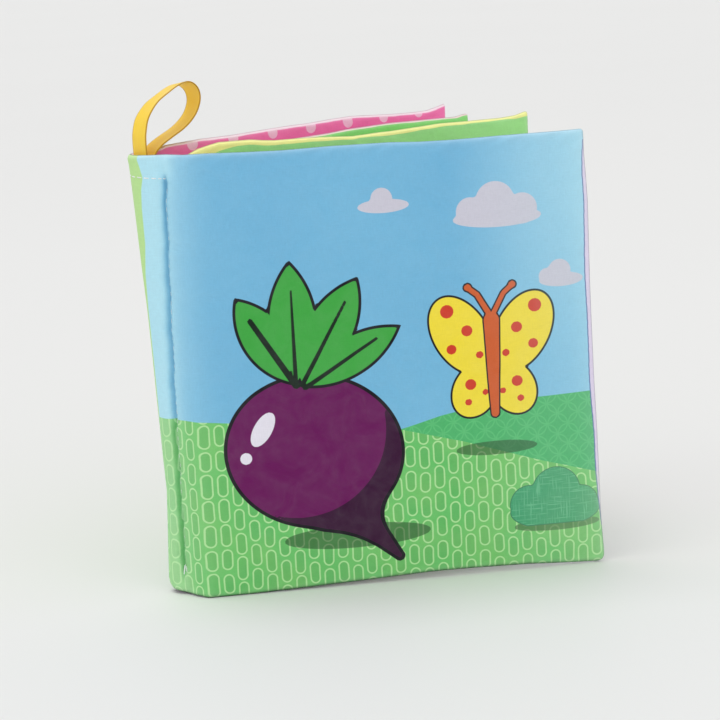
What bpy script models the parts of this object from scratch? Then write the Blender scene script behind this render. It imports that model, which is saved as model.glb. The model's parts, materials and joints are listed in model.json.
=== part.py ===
# A crinkle cloth book that stands fanned open on its lower edge.
# Two folded double sheets, a cover sheet and an inner sheet, are sewn together along a binding seam.
# Each of the four leaves is a pair of printed cloths with wadding and a crinkle film between them.
# The cover sheet's fold makes a puffy spine, with a ribbon loop sewn into its top.
#
# Metres, +Z up. The origin is the middle of the spine's foot. +X runs along the front cover to its
# fore edge, and the front cover faces -Y.

import math

import bmesh
import bpy
from mathutils import Vector

# Leaves
LEAF_HEIGHT = 0.150
LEAF_WIDTH = 0.139
CLOTH_THICKNESS = 0.0006
SEAM_GAP = 0.0003
CROWN_RISE = 0.0014
CROWN_REACH = 0.045
FORE_CORNER_RADIUS = 0.0018
HINGE_CORNER_RADIUS = 0.002
HINGE_NOSE = 0.00065
FORE_EDGE_DRAW_IN = 0.0015
TOP_EDGE_DRAW_IN = 0.0008
LEAF_ANGLES_DEG = (0.0, 19.2, 32.0, 36.4)
LEAF_PITCH = 0.0048

# What lies between the two cloths of a leaf
FILLING_INSET = 0.015
FILM_THICKNESS = 0.00025
LAYER_GAP = 0.0003

# Spine
SPINE_DIRECTION_DEG = 205.0
MOUTH_CLEARANCE = 0.0012
MOUTH_SLANT = 0.0006
SPINE_DEPTH_LOW = 0.0050
SPINE_DEPTH_TOP = 0.0086
SPINE_SWELL = 0.0014
SPINE_WADDING_THICKNESS = 0.0008
SPINE_FLOOR_THICKNESS = 0.0006
FOOT_ROUNDING_HEIGHT = 0.0065
FOOT_DRAW_IN = 0.0012
INNER_LAYER_FOOT = 0.004
FOOT_MIDDLE = 0.0031
INNER_SHEET_DEPTH = 0.0019

# Ribbon
RIBBON_WIDTH = 0.010
RIBBON_THICKNESS = 0.0006
RIBBON_DIRECTION_DEG = 118.0
TAIL_LENGTH = 0.011
TAIL_PLACE = 0.0048
LOOP_LENGTH = 0.0287
LOOP_HALF_WIDTH = 0.0086
LOOP_TILT_DEG = 32.0

# Shape of the crown and of the spine's taper
CROWN_POWER = 1.6
TAPER_POWER = 3.0
CLOTH_RING_SHARES = (0.0, 0.1, 0.28, 0.58, 1.0)
FILLING_RING_SHARES = (0.0, 0.3, 1.0)
SPINE_LEVEL_SHARES = (0.0, 0.25, 0.5, 0.7, 0.85, 1.0)
WADDING_SPAN_SHARE = 0.66

# Facets
CORNER_STEPS = 4
EDGE_STEPS = 4
SPINE_STEPS = 14
LOOP_STEPS = 24

# Colours and finish
SKY_BLUE = (0.47, 0.70, 0.87)
LILAC = (0.67, 0.52, 0.83)
LIGHT_GREEN = (0.31, 0.70, 0.24)
PALE_YELLOW = (0.87, 0.95, 0.36)
MID_GREEN = (0.22, 0.60, 0.20)
PALE_PINK = (0.93, 0.68, 0.72)
PINK = (0.95, 0.12, 0.32)
LIME = (0.50, 0.78, 0.18)
WHITE = (0.85, 0.85, 0.83)
FILM_GREY = (0.75, 0.77, 0.80)
RIBBON_YELLOW = (0.93, 0.62, 0.05)
CLOTH_ROUGHNESS = 0.85
FILM_ROUGHNESS = 0.25
RIBBON_ROUGHNESS = 0.4
SMOOTH_ANGLE_DEG = 40.0

EDGE_HALF = SEAM_GAP / 2 + CLOTH_THICKNESS
SPINE_HALF_WIDTH = LEAF_PITCH * (len(LEAF_ANGLES_DEG) - 1) / 2 + EDGE_HALF


def clear_scene():
    for item in list(bpy.data.objects):
        bpy.data.objects.remove(item)


def make_material(name, colour, roughness):
    material = bpy.data.materials.new(name)
    material.use_nodes = True
    shader = material.node_tree.nodes["Principled BSDF"]
    shader.inputs["Base Color"].default_value = (*colour, 1.0)
    shader.inputs["Roughness"].default_value = roughness
    shader.inputs["Metallic"].default_value = 0.0
    material.diffuse_color = (*colour, 1.0)
    return material


def make_solid(name, points, faces, parent, colour, roughness):
    # One closed mesh under its parent empty, with its faces turned outwards.
    mesh = bpy.data.meshes.new(name)
    mesh.from_pydata(points, [], faces)
    work = bmesh.new()
    work.from_mesh(mesh)
    bmesh.ops.recalc_face_normals(work, faces=work.faces)
    work.to_mesh(mesh)
    work.free()
    mesh.shade_smooth()
    mesh.set_sharp_from_angle(angle=math.radians(SMOOTH_ANGLE_DEG))
    mesh.materials.append(make_material(name, colour, roughness))
    solid = bpy.data.objects.new(name, mesh)
    bpy.context.collection.objects.link(solid)
    solid.parent = parent
    return solid


def make_empty(name, place, turn):
    empty = bpy.data.objects.new(name, None)
    bpy.context.collection.objects.link(empty)
    empty.location = place
    empty.rotation_euler = (0.0, 0.0, turn)
    return empty


def direction(angle_deg):
    angle = math.radians(angle_deg)
    return Vector((math.cos(angle), math.sin(angle), 0.0))


def corner_arc(centre_x, centre_z, radius, start_deg):
    # A quarter turn, counter-clockwise, from the start angle.
    arc = []
    for step in range(CORNER_STEPS + 1):
        angle = math.radians(start_deg) + math.pi / 2 * step / CORNER_STEPS
        arc.append((centre_x + radius * math.cos(angle), centre_z + radius * math.sin(angle)))
    return arc


def drawn_edge(start, end, draw_in):
    # Points between two corners, drawn in towards the leaf's middle by a parabola.
    run = Vector((end[0] - start[0], end[1] - start[1]))
    inward = Vector((-run.y, run.x)).normalized()
    edge = []
    for step in range(1, EDGE_STEPS):
        share = step / EDGE_STEPS
        depth = draw_in * 4 * share * (1 - share)
        edge.append((start[0] + run.x * share + inward.x * depth,
                     start[1] + run.y * share + inward.y * depth))
    return edge


def leaf_outline():
    # The leaf's edge in its own plane, x from the hinge to the fore edge and z up, counter-clockwise.
    # The lower edge stays straight, because the book stands on it.
    fore = LEAF_WIDTH - FORE_CORNER_RADIUS
    low_fore = corner_arc(fore, FORE_CORNER_RADIUS, FORE_CORNER_RADIUS, -90)
    top_fore = corner_arc(fore, LEAF_HEIGHT - FORE_CORNER_RADIUS, FORE_CORNER_RADIUS, 0)
    top_hinge = corner_arc(HINGE_CORNER_RADIUS, LEAF_HEIGHT - HINGE_CORNER_RADIUS, HINGE_CORNER_RADIUS, 90)
    low_hinge = corner_arc(HINGE_CORNER_RADIUS, HINGE_CORNER_RADIUS, HINGE_CORNER_RADIUS, 180)
    outline = low_fore
    outline += drawn_edge(low_fore[-1], top_fore[0], FORE_EDGE_DRAW_IN)
    outline += top_fore
    outline += drawn_edge(top_fore[-1], top_hinge[0], TOP_EDGE_DRAW_IN)
    outline += top_hinge
    outline += drawn_edge(top_hinge[-1], low_hinge[0], 0.0)
    outline += low_hinge
    outline += drawn_edge(low_hinge[-1], low_fore[0], 0.0)
    return outline


def inset_ring(outline, inset):
    # The outline drawn towards its middle, by the same distance on each side.
    half_width = LEAF_WIDTH / 2
    half_height = LEAF_HEIGHT / 2
    share_x = (half_width - inset) / half_width
    share_z = (half_height - inset) / half_height
    return [(half_width + (x - half_width) * share_x, half_height + (z - half_height) * share_z)
            for x, z in outline]


def crown(inset):
    # Rise of a leaf's outer face at a distance inside its seam: steep at the seam, flat in the middle.
    share = min(inset / CROWN_REACH, 1.0)
    return CROWN_RISE * (1 - (1 - share) ** CROWN_POWER)


def nose_shift(x, nose):
    # The inner face's hinge edge stands out a little towards the spine, so the leaf ends in a nose.
    return x - nose * max(0.0, 1 - x / HINGE_CORNER_RADIUS)


def layer_solid(name, insets, near_face, far_face, parent, colour, roughness, nose=0.0):
    # One layer of a leaf: two faces over the same rings, joined round the outer ring.
    outline = leaf_outline()
    count = len(outline)
    points = []
    for face in (near_face, far_face):
        for inset in insets:
            points += [(x, face(inset), z) for x, z in inset_ring(outline, inset)]
    for index in range(count):
        x, y, z = points[index]
        points[index] = (nose_shift(x, nose), y, z)
    faces = []
    far_start = count * len(insets)
    for start in (0, far_start):
        for ring in range(len(insets) - 1):
            low = start + ring * count
            for index in range(count):
                following = (index + 1) % count
                faces.append((low + index, low + following, low + count + following, low + count + index))
        last = start + (len(insets) - 1) * count
        faces.append(tuple(range(last, last + count)))
    for index in range(count):
        following = (index + 1) % count
        faces.append((index, following, far_start + following, far_start + index))
    return make_solid(name, points, faces, parent, colour, roughness)


def make_leaf(number, hinge, names, colours):
    # Two cloths that meet at the seam round the leaf, a film behind the front one, then wadding.
    turn = math.radians(LEAF_ANGLES_DEG[number])
    pivot = make_empty("leaf_%d_hinge" % (number + 1), hinge, turn)
    cloth_insets = [CROWN_REACH * share for share in CLOTH_RING_SHARES]
    filling_run = CROWN_REACH - FILLING_INSET
    filling_insets = [FILLING_INSET + filling_run * share for share in FILLING_RING_SHARES]
    cavity_half = SEAM_GAP / 2
    film_front = LAYER_GAP
    film_back = film_front + FILM_THICKNESS
    wadding_front = film_back + LAYER_GAP
    for side, name, colour in ((-1, names[0], colours[0]), (1, names[1], colours[1])):
        layer_solid(name, cloth_insets,
                    lambda inset: side * (cavity_half + crown(inset)),
                    lambda inset: side * (EDGE_HALF + crown(inset)),
                    pivot, colour, CLOTH_ROUGHNESS, HINGE_NOSE)
    layer_solid(names[2], filling_insets,
                lambda inset: wadding_front - cavity_half - crown(inset),
                lambda inset: cavity_half + crown(inset) - LAYER_GAP,
                pivot, WHITE, CLOTH_ROUGHNESS)
    layer_solid(names[3], filling_insets,
                lambda inset: film_front - cavity_half - crown(inset),
                lambda inset: film_back - cavity_half - crown(inset),
                pivot, FILM_GREY, FILM_ROUGHNESS)


def spine_depth(height):
    # How far the fold stands out at a height: the spine widens upwards, and its foot is rounded in.
    taper = (height / LEAF_HEIGHT) ** TAPER_POWER
    depth = SPINE_DEPTH_LOW + (SPINE_DEPTH_TOP - SPINE_DEPTH_LOW) * taper
    below = max(0.0, 1 - height / FOOT_ROUNDING_HEIGHT)
    return depth - FOOT_DRAW_IN * below ** 2


def fold_angles(span_share=1.0):
    # Half a turn from the fold's front end to its back end, or a share of it about the middle.
    return [math.pi * span_share * (step / SPINE_STEPS - 0.5) for step in range(SPINE_STEPS + 1)]


def cover_curve(height, end_inset, middle_inset, slant=0.0, span_share=1.0):
    # A layer of the cover sheet's fold seen from above. It is half an oval that swells on both sides:
    # across = width sin a + swell sin 2a, and out = depth cos a. The inset grows with cos a from the
    # fold's ends, where the seam draws the layers together, to its middle.
    # A slant sets both ends further from the leaves, so that the covers open wider.
    start = MOUTH_CLEARANCE + slant
    curve = []
    for angle in fold_angles(span_share):
        inset = end_inset + (middle_inset - end_inset) * math.cos(angle)
        across = (SPINE_HALF_WIDTH - inset) * math.sin(angle) + SPINE_SWELL * math.sin(2 * angle)
        out = start + (spine_depth(height) - inset - slant) * math.cos(angle)
        curve.append((out, -across, height))
    return curve


def inner_curve(height, half_width, depth):
    # A layer of the inner sheet's fold seen from above: half an oval between the two middle leaves.
    return [(MOUTH_CLEARANCE + depth * math.cos(angle), -half_width * math.sin(angle), height)
            for angle in fold_angles()]


def level_heights(foot, top):
    return [foot + (top - foot) * share for share in SPINE_LEVEL_SHARES]


def fold_solid(name, foot, top, outer_face, inner_face, parent, colour, floor=0.0):
    # A folded layer between two curves, each given by its height and whether it is at the layer's foot.
    # With a floor it is closed below, as the cover sheet's seam closes it, and the floor ends where the
    # outer face does.
    heights = level_heights(foot + floor, top)
    rounding = [height for height in (FOOT_ROUNDING_HEIGHT / 2, FOOT_ROUNDING_HEIGHT) if height > heights[0]]
    heights = sorted(heights + rounding)
    count = SPINE_STEPS + 1
    points = []
    for level, height in enumerate(heights):
        points += outer_face(height, level == 0)
        points += inner_face(height, level == 0)
    faces = []
    for level in range(len(heights) - 1):
        low = level * 2 * count
        high = low + 2 * count
        for index in range(SPINE_STEPS):
            faces.append((low + index, low + index + 1, high + index + 1, high + index))
            inner = low + count + index
            faces.append((inner, inner + 1, inner + 1 + 2 * count, inner + 2 * count))
        for end in (0, SPINE_STEPS):
            faces.append((low + end, low + count + end, high + count + end, high + end))
    last = (len(heights) - 1) * 2 * count
    for index in range(SPINE_STEPS):
        faces.append((last + index, last + index + 1, last + count + index + 1, last + count + index))
    if floor:
        start = len(points)
        points += outer_face(foot, True)
        faces.append(tuple(range(start, start + count)))
        faces.append(tuple(range(count, 2 * count)))
        for index in range(SPINE_STEPS):
            faces.append((start + index, start + index + 1, index + 1, index))
        faces.append((start, 0, count, 2 * count - 1, count - 1, start + count - 1))
    else:
        for index in range(SPINE_STEPS):
            faces.append((index, index + 1, count + index + 1, count + index))
    return make_solid(name, points, faces, parent, colour, CLOTH_ROUGHNESS)


def box_solid(name, low, high, parent, colour, roughness):
    points = [(x, y, z) for z in (low.z, high.z) for y in (low.y, high.y) for x in (low.x, high.x)]
    faces = [(0, 1, 3, 2), (4, 5, 7, 6), (0, 1, 5, 4), (2, 3, 7, 6), (0, 2, 6, 4), (1, 3, 7, 5)]
    return make_solid(name, points, faces, parent, colour, roughness)


def loop_line():
    # The ribbon's middle line: a teardrop with its point at the base, leaning to the fore edge.
    # along = length (1 - cos t) / 2, and across = width sin t sin(t / 2).
    lean = math.radians(LOOP_TILT_DEG)
    line = [Vector((0.0, 0.0))]
    for step in range(2, LOOP_STEPS - 1):
        turn = 2 * math.pi * step / LOOP_STEPS
        along = LOOP_LENGTH * (1 - math.cos(turn)) / 2
        across = LOOP_HALF_WIDTH * math.sin(turn) * math.sin(turn / 2)
        line.append(Vector((along * math.sin(lean) + across * math.cos(lean),
                            along * math.cos(lean) - across * math.sin(lean))))
    return line


def offset_line(line, distance):
    # Each point moved square to the line, mitred at the corner.
    moved = []
    for index, point in enumerate(line):
        before = (point - line[index - 1]).normalized()
        after = (line[(index + 1) % len(line)] - point).normalized()
        first = Vector((-before.y, before.x))
        second = Vector((-after.y, after.x))
        moved.append(point + (first + second) * (distance / (1 + first.dot(second))))
    return moved


def make_loop(pivot):
    line = loop_line()
    outer = offset_line(line, RIBBON_THICKNESS / 2)
    inner = offset_line(line, -RIBBON_THICKNESS / 2)
    count = len(line)
    points = []
    for side in (-RIBBON_WIDTH / 2, RIBBON_WIDTH / 2):
        points += [(point.x, side, point.y) for point in outer]
        points += [(point.x, side, point.y) for point in inner]
    faces = []
    for index in range(count):
        following = (index + 1) % count
        for start in (0, 2 * count):
            faces.append((start + index, start + following, start + count + following, start + count + index))
        for start in (0, count):
            faces.append((start + index, start + following,
                          start + 2 * count + following, start + 2 * count + index))
    make_solid("hanging_loop", points, faces, pivot, RIBBON_YELLOW, RIBBON_ROUGHNESS)


def build():
    clear_scene()
    out = direction(SPINE_DIRECTION_DEG)
    back = direction(SPINE_DIRECTION_DEG - 90)
    seam_middle = out * -FOOT_MIDDLE

    leaves = (
        (("front_cover_cloth", "page_2_cloth", "front_cover_wadding", "front_cover_film"), (SKY_BLUE, LILAC)),
        (("page_3_cloth", "page_4_cloth", "leaf_2_wadding", "leaf_2_film"), (LIGHT_GREEN, PALE_YELLOW)),
        (("page_5_cloth", "page_6_cloth", "leaf_3_wadding", "leaf_3_film"), (MID_GREEN, PALE_PINK)),
        (("page_7_cloth", "back_cover_cloth", "back_cover_wadding", "back_cover_film"), (PINK, LIME)),
    )
    for number, (names, colours) in enumerate(leaves):
        step_back = LEAF_PITCH * (number - (len(leaves) - 1) / 2)
        make_leaf(number, seam_middle + back * step_back, names, colours)

    spine = make_empty("spine_frame", seam_middle, math.radians(SPINE_DIRECTION_DEG))
    tail_foot = LEAF_HEIGHT - TAIL_LENGTH
    inner_top = tail_foot - LAYER_GAP
    fold_solid("spine_cloth", 0.0, LEAF_HEIGHT,
               lambda height, is_foot: cover_curve(height, 0.0, 0.0, MOUTH_SLANT),
               lambda height, is_foot: cover_curve(height, CLOTH_THICKNESS, CLOTH_THICKNESS,
                                                   MOUTH_SLANT if is_foot else 0.0),
               spine, SKY_BLUE, SPINE_FLOOR_THICKNESS)
    wadding_outer = CLOTH_THICKNESS + LAYER_GAP
    wadding_inner = wadding_outer + SPINE_WADDING_THICKNESS
    lining_end = CLOTH_THICKNESS + SEAM_GAP
    lining_middle = wadding_inner + LAYER_GAP
    fold_solid("spine_wadding", INNER_LAYER_FOOT, inner_top,
               lambda height, is_foot: cover_curve(height, wadding_outer, wadding_outer,
                                                   span_share=WADDING_SPAN_SHARE),
               lambda height, is_foot: cover_curve(height, lining_end - LAYER_GAP, wadding_inner,
                                                   span_share=WADDING_SPAN_SHARE),
               spine, WHITE)
    fold_solid("spine_lining", INNER_LAYER_FOOT, inner_top,
               lambda height, is_foot: cover_curve(height, lining_end, lining_middle),
               lambda height, is_foot: cover_curve(height, lining_end + CLOTH_THICKNESS,
                                                   lining_middle + CLOTH_THICKNESS),
               spine, LILAC)
    outer_half = LEAF_PITCH / 2 + EDGE_HALF
    inner_half = outer_half - CLOTH_THICKNESS - SEAM_GAP
    inner_depth = INNER_SHEET_DEPTH - CLOTH_THICKNESS - LAYER_GAP
    for name, half_width, depth, colour in (
            ("inner_sheet_outer_fold", outer_half, INNER_SHEET_DEPTH, LIGHT_GREEN),
            ("inner_sheet_inner_fold", inner_half, inner_depth, PALE_YELLOW)):
        fold_solid(name, INNER_LAYER_FOOT, inner_top,
                   lambda height, is_foot: inner_curve(height, half_width, depth),
                   lambda height, is_foot: inner_curve(height, half_width - CLOTH_THICKNESS,
                                                       depth - CLOTH_THICKNESS),
                   spine, colour)

    ribbon_place = seam_middle + out * (MOUTH_CLEARANCE + TAIL_PLACE)
    ribbon_turn = math.radians(RIBBON_DIRECTION_DEG - 90)
    tails = make_empty("ribbon_tail_frame", ribbon_place, ribbon_turn)
    tail_half = RIBBON_THICKNESS + LAYER_GAP / 4
    box_solid("ribbon_tails",
              Vector((-tail_half, -RIBBON_WIDTH / 2, tail_foot)),
              Vector((tail_half, RIBBON_WIDTH / 2, LEAF_HEIGHT)),
              tails, RIBBON_YELLOW, RIBBON_ROUGHNESS)
    loop_height = LEAF_HEIGHT + LAYER_GAP + RIBBON_THICKNESS
    loop_pivot = make_empty("hanging_loop_hinge", ribbon_place + Vector((0.0, 0.0, loop_height)), ribbon_turn)
    make_loop(loop_pivot)


build()
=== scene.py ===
import json
import math

import bpy
import numpy as np
from mathutils import Matrix


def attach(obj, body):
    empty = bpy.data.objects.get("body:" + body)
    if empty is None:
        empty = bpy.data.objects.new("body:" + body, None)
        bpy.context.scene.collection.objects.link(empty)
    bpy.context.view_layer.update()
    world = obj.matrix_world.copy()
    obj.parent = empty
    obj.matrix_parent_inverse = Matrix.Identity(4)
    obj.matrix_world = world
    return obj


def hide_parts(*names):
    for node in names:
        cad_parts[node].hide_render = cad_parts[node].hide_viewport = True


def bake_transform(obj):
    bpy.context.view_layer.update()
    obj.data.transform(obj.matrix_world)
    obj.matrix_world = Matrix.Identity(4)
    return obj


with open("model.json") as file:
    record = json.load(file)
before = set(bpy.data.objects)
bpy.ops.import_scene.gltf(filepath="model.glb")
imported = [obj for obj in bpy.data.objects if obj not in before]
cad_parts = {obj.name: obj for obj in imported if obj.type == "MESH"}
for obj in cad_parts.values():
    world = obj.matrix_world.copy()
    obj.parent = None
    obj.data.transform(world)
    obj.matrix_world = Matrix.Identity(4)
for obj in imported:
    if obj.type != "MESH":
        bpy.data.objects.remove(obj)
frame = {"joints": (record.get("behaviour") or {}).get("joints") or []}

mm = 0.001
fullTurn = 2.0 * math.pi
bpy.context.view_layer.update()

joints = {joint["name"]: joint for joint in frame["joints"]}
leafNames = ("front_cover", "leaf_2", "leaf_3", "back_cover")
leafHeight, leafReach = 150.0, 136.0
hinges = [np.array(joints[name + "_turn"]["pos_m"][:2]) / mm for name in leafNames]
leafAngles = [math.radians(angle) for angle in (0.0, 19.2, 32.0, 36.4)]
leafRuns = [np.array([math.cos(angle), math.sin(angle)]) for angle in leafAngles]


def addObject(name, data):
    item = bpy.data.objects.new(name, data)
    bpy.context.collection.objects.link(item)
    return item


def setPose(item, right, up, back, place=(0.0, 0.0, 0.0)):
    # The item's own X, Y and Z axes as the columns of its matrix, then its place.
    pose = np.eye(4)
    pose[:3] = np.stack([right, up, back, place], axis=1)
    item.matrix_world = Matrix(pose.tolist())


# The camera stands where the photo's did, and its focal length is given in the photo's pixels.
camera = {"place": (-29.3, -721.0, 223.0), "panDeg": 7.27, "tiltDeg": 11.39, "rollDeg": -3.22,
          "focalPixels": 2200.0, "framePixels": 720.0, "sensorWidth": 36.0, "nearM": 0.01, "farM": 100.0}


def makeCamera(spec):
    # forward = (sin pan cos tilt, cos pan cos tilt, -sin tilt), then a roll about it.
    pan, tilt, roll = (math.radians(spec[key]) for key in ("panDeg", "tiltDeg", "rollDeg"))
    forward = np.array([math.sin(pan) * math.cos(tilt), math.cos(pan) * math.cos(tilt), -math.sin(tilt)])
    level = np.array([math.cos(pan), -math.sin(pan), 0.0])
    right = math.cos(roll) * level + math.sin(roll) * np.cross(level, forward)
    data = bpy.data.cameras.new("camera")
    data.sensor_width = spec["sensorWidth"]
    data.lens = spec["sensorWidth"] * spec["focalPixels"] / spec["framePixels"]
    data.clip_start, data.clip_end = spec["nearM"], spec["farM"]
    item = addObject("camera", data)
    setPose(item, right, np.cross(right, forward), -forward, np.array(spec["place"]) * mm)
    bpy.context.scene.camera = item


makeCamera(camera)
print("camera set")


def colourOf(red, green, blue):
    # Screen values 0 to 255 to linear light: c / 12.92 below 0.04045, else ((c + 0.055) / 1.055)^2.4.
    screen = np.array([red, green, blue]) / 255.0
    linear = np.where(screen <= 0.04045, screen / 12.92, ((screen + 0.055) / 1.055) ** 2.4)
    return (*[float(value) for value in linear], 1.0)


class Value:
    # A shader node's output. A sum of values and numbers makes the nodes that work it out.
    def __init__(self, socket):
        self.socket, self.tree = socket, socket.id_data

    def __add__(self, other):
        return maths("ADD", self, other)

    def __sub__(self, other):
        return maths("SUBTRACT", self, other)

    def __rsub__(self, other):
        return maths("SUBTRACT", other, self)

    def __mul__(self, other):
        return maths("MULTIPLY", self, other)

    def __truediv__(self, other):
        return maths("DIVIDE", self, other)

    def __rtruediv__(self, other):
        return maths("DIVIDE", other, self)

    def __abs__(self):
        return maths("ABSOLUTE", self)

    __radd__, __rmul__ = __add__, __mul__


def give(node, wanted):
    # Each named or numbered input gets a number, a colour or a link from another node.
    for key, value in wanted.items():
        if isinstance(value, Value):
            value.tree.links.new(value.socket, node.inputs[key])
        else:
            node.inputs[key].default_value = value


def addNode(tree, kind, wanted, settings):
    node = tree.nodes.new("ShaderNode" + kind)
    for key, value in settings.items():
        setattr(node, key, value)
    give(node, wanted)
    return node


def made(tree, kind, wanted=None, output=0, **settings):
    # One output of a new node.
    return Value(addNode(tree, kind, wanted or {}, settings).outputs[output])


def treeOf(*values):
    return next(value.tree for value in values if isinstance(value, Value))


def maths(operation, *values):
    return made(treeOf(*values), "Math", dict(enumerate(values)), operation=operation)


def mixed(factor, first, second, blend="MIX"):
    # first where the factor is 0 and second where it is 1.
    return made(treeOf(factor, first, second), "Mix", {0: factor, 6: first, 7: second}, 2,
                data_type="RGBA", blend_type=blend)


def vectors(operation, first, second):
    return made(first.tree, "VectorMath", {0: first, 1: second}, operation=operation)


def scaled(vector, scale):
    return made(vector.tree, "VectorMath", {0: vector, "Scale": scale}, operation="SCALE")


def parts(vector):
    return [Value(socket) for socket in addNode(vector.tree, "SeparateXYZ", {0: vector}, {}).outputs]


def noise(vector, scale, detail, output="Fac", more=None):
    return made(vector.tree, "TexNoise", {"Vector": vector, "Scale": scale, "Detail": detail, **(more or {})},
                output)


def ranged(value, low, high, start=0.0, end=1.0):
    # start at low and below, end at high and above, and in step between.
    return made(value.tree, "MapRange", {0: value, 1: low, 2: high, 3: start, 4: end})


def clamped(value):
    return made(value.tree, "Clamp", {0: value})


def grey(value):
    return made(value.tree, "CombineColor", {0: value, 1: value, 2: value})


def attribute(tree, name, output="Fac"):
    return made(tree, "Attribute", output=output, attribute_name=name)


def bumped(height, strength, distanceM, normal=None):
    wanted = {"Strength": strength, "Distance": distanceM, "Height": height}
    return made(height.tree, "Bump", wanted if normal is None else {**wanted, "Normal": normal})


def startMaterial(name):
    material = bpy.data.materials.new(name)
    material.use_nodes = True
    return material, material.node_tree, material.node_tree.nodes["Principled BSDF"]


def startGroup(name, numbers, results):
    # A group with a vector input named Page, number inputs with their usual values, and number outputs.
    tree = bpy.data.node_groups.new(name, "ShaderNodeTree")
    tree.interface.new_socket(name="Page", in_out="INPUT", socket_type="NodeSocketVector")
    for label, value in numbers.items():
        socket = tree.interface.new_socket(name=label, in_out="INPUT", socket_type="NodeSocketFloat")
        socket.default_value = value
    for label in results:
        tree.interface.new_socket(name=label, in_out="OUTPUT", socket_type="NodeSocketFloat")
    sockets = tree.nodes.new("NodeGroupInput").outputs
    given = {label: Value(sockets[label]) for label in ("Page", *numbers)}
    return tree, given, tree.nodes.new("NodeGroupOutput")


def useGroup(group, page, numbers=None):
    node = page.tree.nodes.new("ShaderNodeGroup")
    node.node_tree = group
    give(node, {"Page": page, **(numbers or {})})
    return {socket.name: Value(socket) for socket in node.outputs}


studio = {"floorColour": (233, 233, 232), "floorReachM": 9.0, "cloudScale": 2.2, "cloudShare": 0.02,
          "darkFromM": 0.2, "darkToM": 1.6, "farLevel": 0.965, "roomLevel": 0.67, "backLevel": 0.81,
          "lamps": {"keyLamp": {"origin": (-0.22, 0.1, 0.97), "level": 0.84, "spreadDeg": 30.0},
                    "fillLamp": {"origin": (-0.2, -0.9, 0.38), "level": 0.76, "spreadDeg": 120.0}}}


def makeFloor(spec):
    # A wide square, faintly cloudy, and a little darker far behind the book, a painted shade where the light
    # falls off.
    reach = spec["floorReachM"]
    mesh = bpy.data.meshes.new("floor")
    mesh.from_pydata([(x * reach, y * reach, 0.0) for x, y in ((-1, -1), (1, -1), (1, 1), (-1, 1))], [],
                     [(0, 1, 2, 3)])
    item = addObject("floor", mesh)
    material, tree, shader = startMaterial("paleFloor")
    place = made(tree, "TexCoord", output="Object")
    cloud = noise(place, spec["cloudScale"], 2.0) * spec["cloudShare"] + (1.0 - spec["cloudShare"] / 2.0)
    # The fall to farLevel far behind the book is painted shade.
    level = cloud * ranged(parts(place)[1], spec["darkFromM"], spec["darkToM"], 1.0, spec["farLevel"])
    give(shader, {"Base Color": mixed(1.0, grey(level), colourOf(*spec["floorColour"]), "MULTIPLY"),
                  "Roughness": 0.55, "Specular IOR Level": 0.12})
    mesh.materials.append(material)


def makeSun(name, spec):
    # A lamp far away in the direction of its origin. Its own -Z points from there to the book.
    data = bpy.data.lights.new(name, "SUN")
    data.energy, data.angle = spec["level"], math.radians(spec["spreadDeg"])
    back = np.array(spec["origin"]) / np.linalg.norm(spec["origin"])
    side = np.cross([0.0, 0.0, 1.0], back)
    side /= np.linalg.norm(side)
    setPose(addObject(name, data), side, np.cross(back, side), back)


def makeRoom(spec):
    # The room lights evenly. Camera, glossy and clear rays see the pale backdrop instead.
    world = bpy.data.worlds.new("room")
    world.use_nodes = True
    tree = world.node_tree
    camera, glossy, clear = (made(tree, "LightPath", output="Is " + kind + " Ray")
                             for kind in ("Camera", "Glossy", "Transmission"))
    seen = maths("MAXIMUM", maths("MAXIMUM", camera, glossy), clear)
    give(tree.nodes["Background"], {"Color": (1.0, 1.0, 1.0, 1.0),
                                    "Strength": ranged(seen, 0.0, 1.0, spec["roomLevel"], spec["backLevel"])})
    bpy.context.scene.world = world


makeFloor(studio)
for lampName, lamp in studio["lamps"].items():
    makeSun(lampName, lamp)
makeRoom(studio)
bpy.context.scene.view_settings.view_transform = "Standard"
print("floor and light set")


def makeWeaveGroup():
    # Plain weave: height is sin(2 pi x / t) sin(2 pi y / t), thread unevenness from noise.
    tree, given, result = startGroup("wovenThreads", {"Thread": 0.42}, ("Height", "Shade"))
    x, y = parts(given["Page"])[:2]
    turn = fullTurn / given["Thread"]
    cross = maths("SINE", x * turn) * maths("SINE", y * turn)
    slubs = [noise(vectors("MULTIPLY", given["Page"], stretch), 1.1, 2.0)
             for stretch in ((0.35, 2.4, 1.0), (2.4, 0.35, 1.0))]
    uneven = slubs[0] + slubs[1]
    give(result, {"Height": cross * 0.5 + uneven * 0.9, "Shade": cross * 0.035 + 0.9 + uneven * 0.1})
    return tree


def makeCrinkleGroup():
    # Soft creases: 1 - 5 |noise - 1/2|, not below 0, and a smaller noise over them.
    tree, given, result = startGroup("crinkledCloth", {"Size": 10.0}, ("Height", "Worn"))
    scale = 1.0 / given["Size"]
    broad = noise(given["Page"], scale, 3.0, more={"Roughness": 0.55, "Distortion": 0.6})
    small = noise(given["Page"], scale * 3.1, 2.0)
    ridge = maths("MAXIMUM", 1.0 - abs(broad - 0.5) * 5.0, 0.0)
    give(result, {"Height": small * 0.45 + ridge, "Worn": ridge * small})
    return tree


def scattered(angle, spread):
    # A number from 0 to 1 that jumps from angle to angle: the fraction of spread sin(angle).
    return maths("FRACT", maths("SINE", angle) * spread)


def inked(distance):
    # 1 where the distance is less than nothing, 0 where it is more, soft over a fifth of a millimetre.
    return clamped(distance * -5.0 + 0.5)


def length(x, y):
    return maths("SQRT", x * x + y * y)


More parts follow.
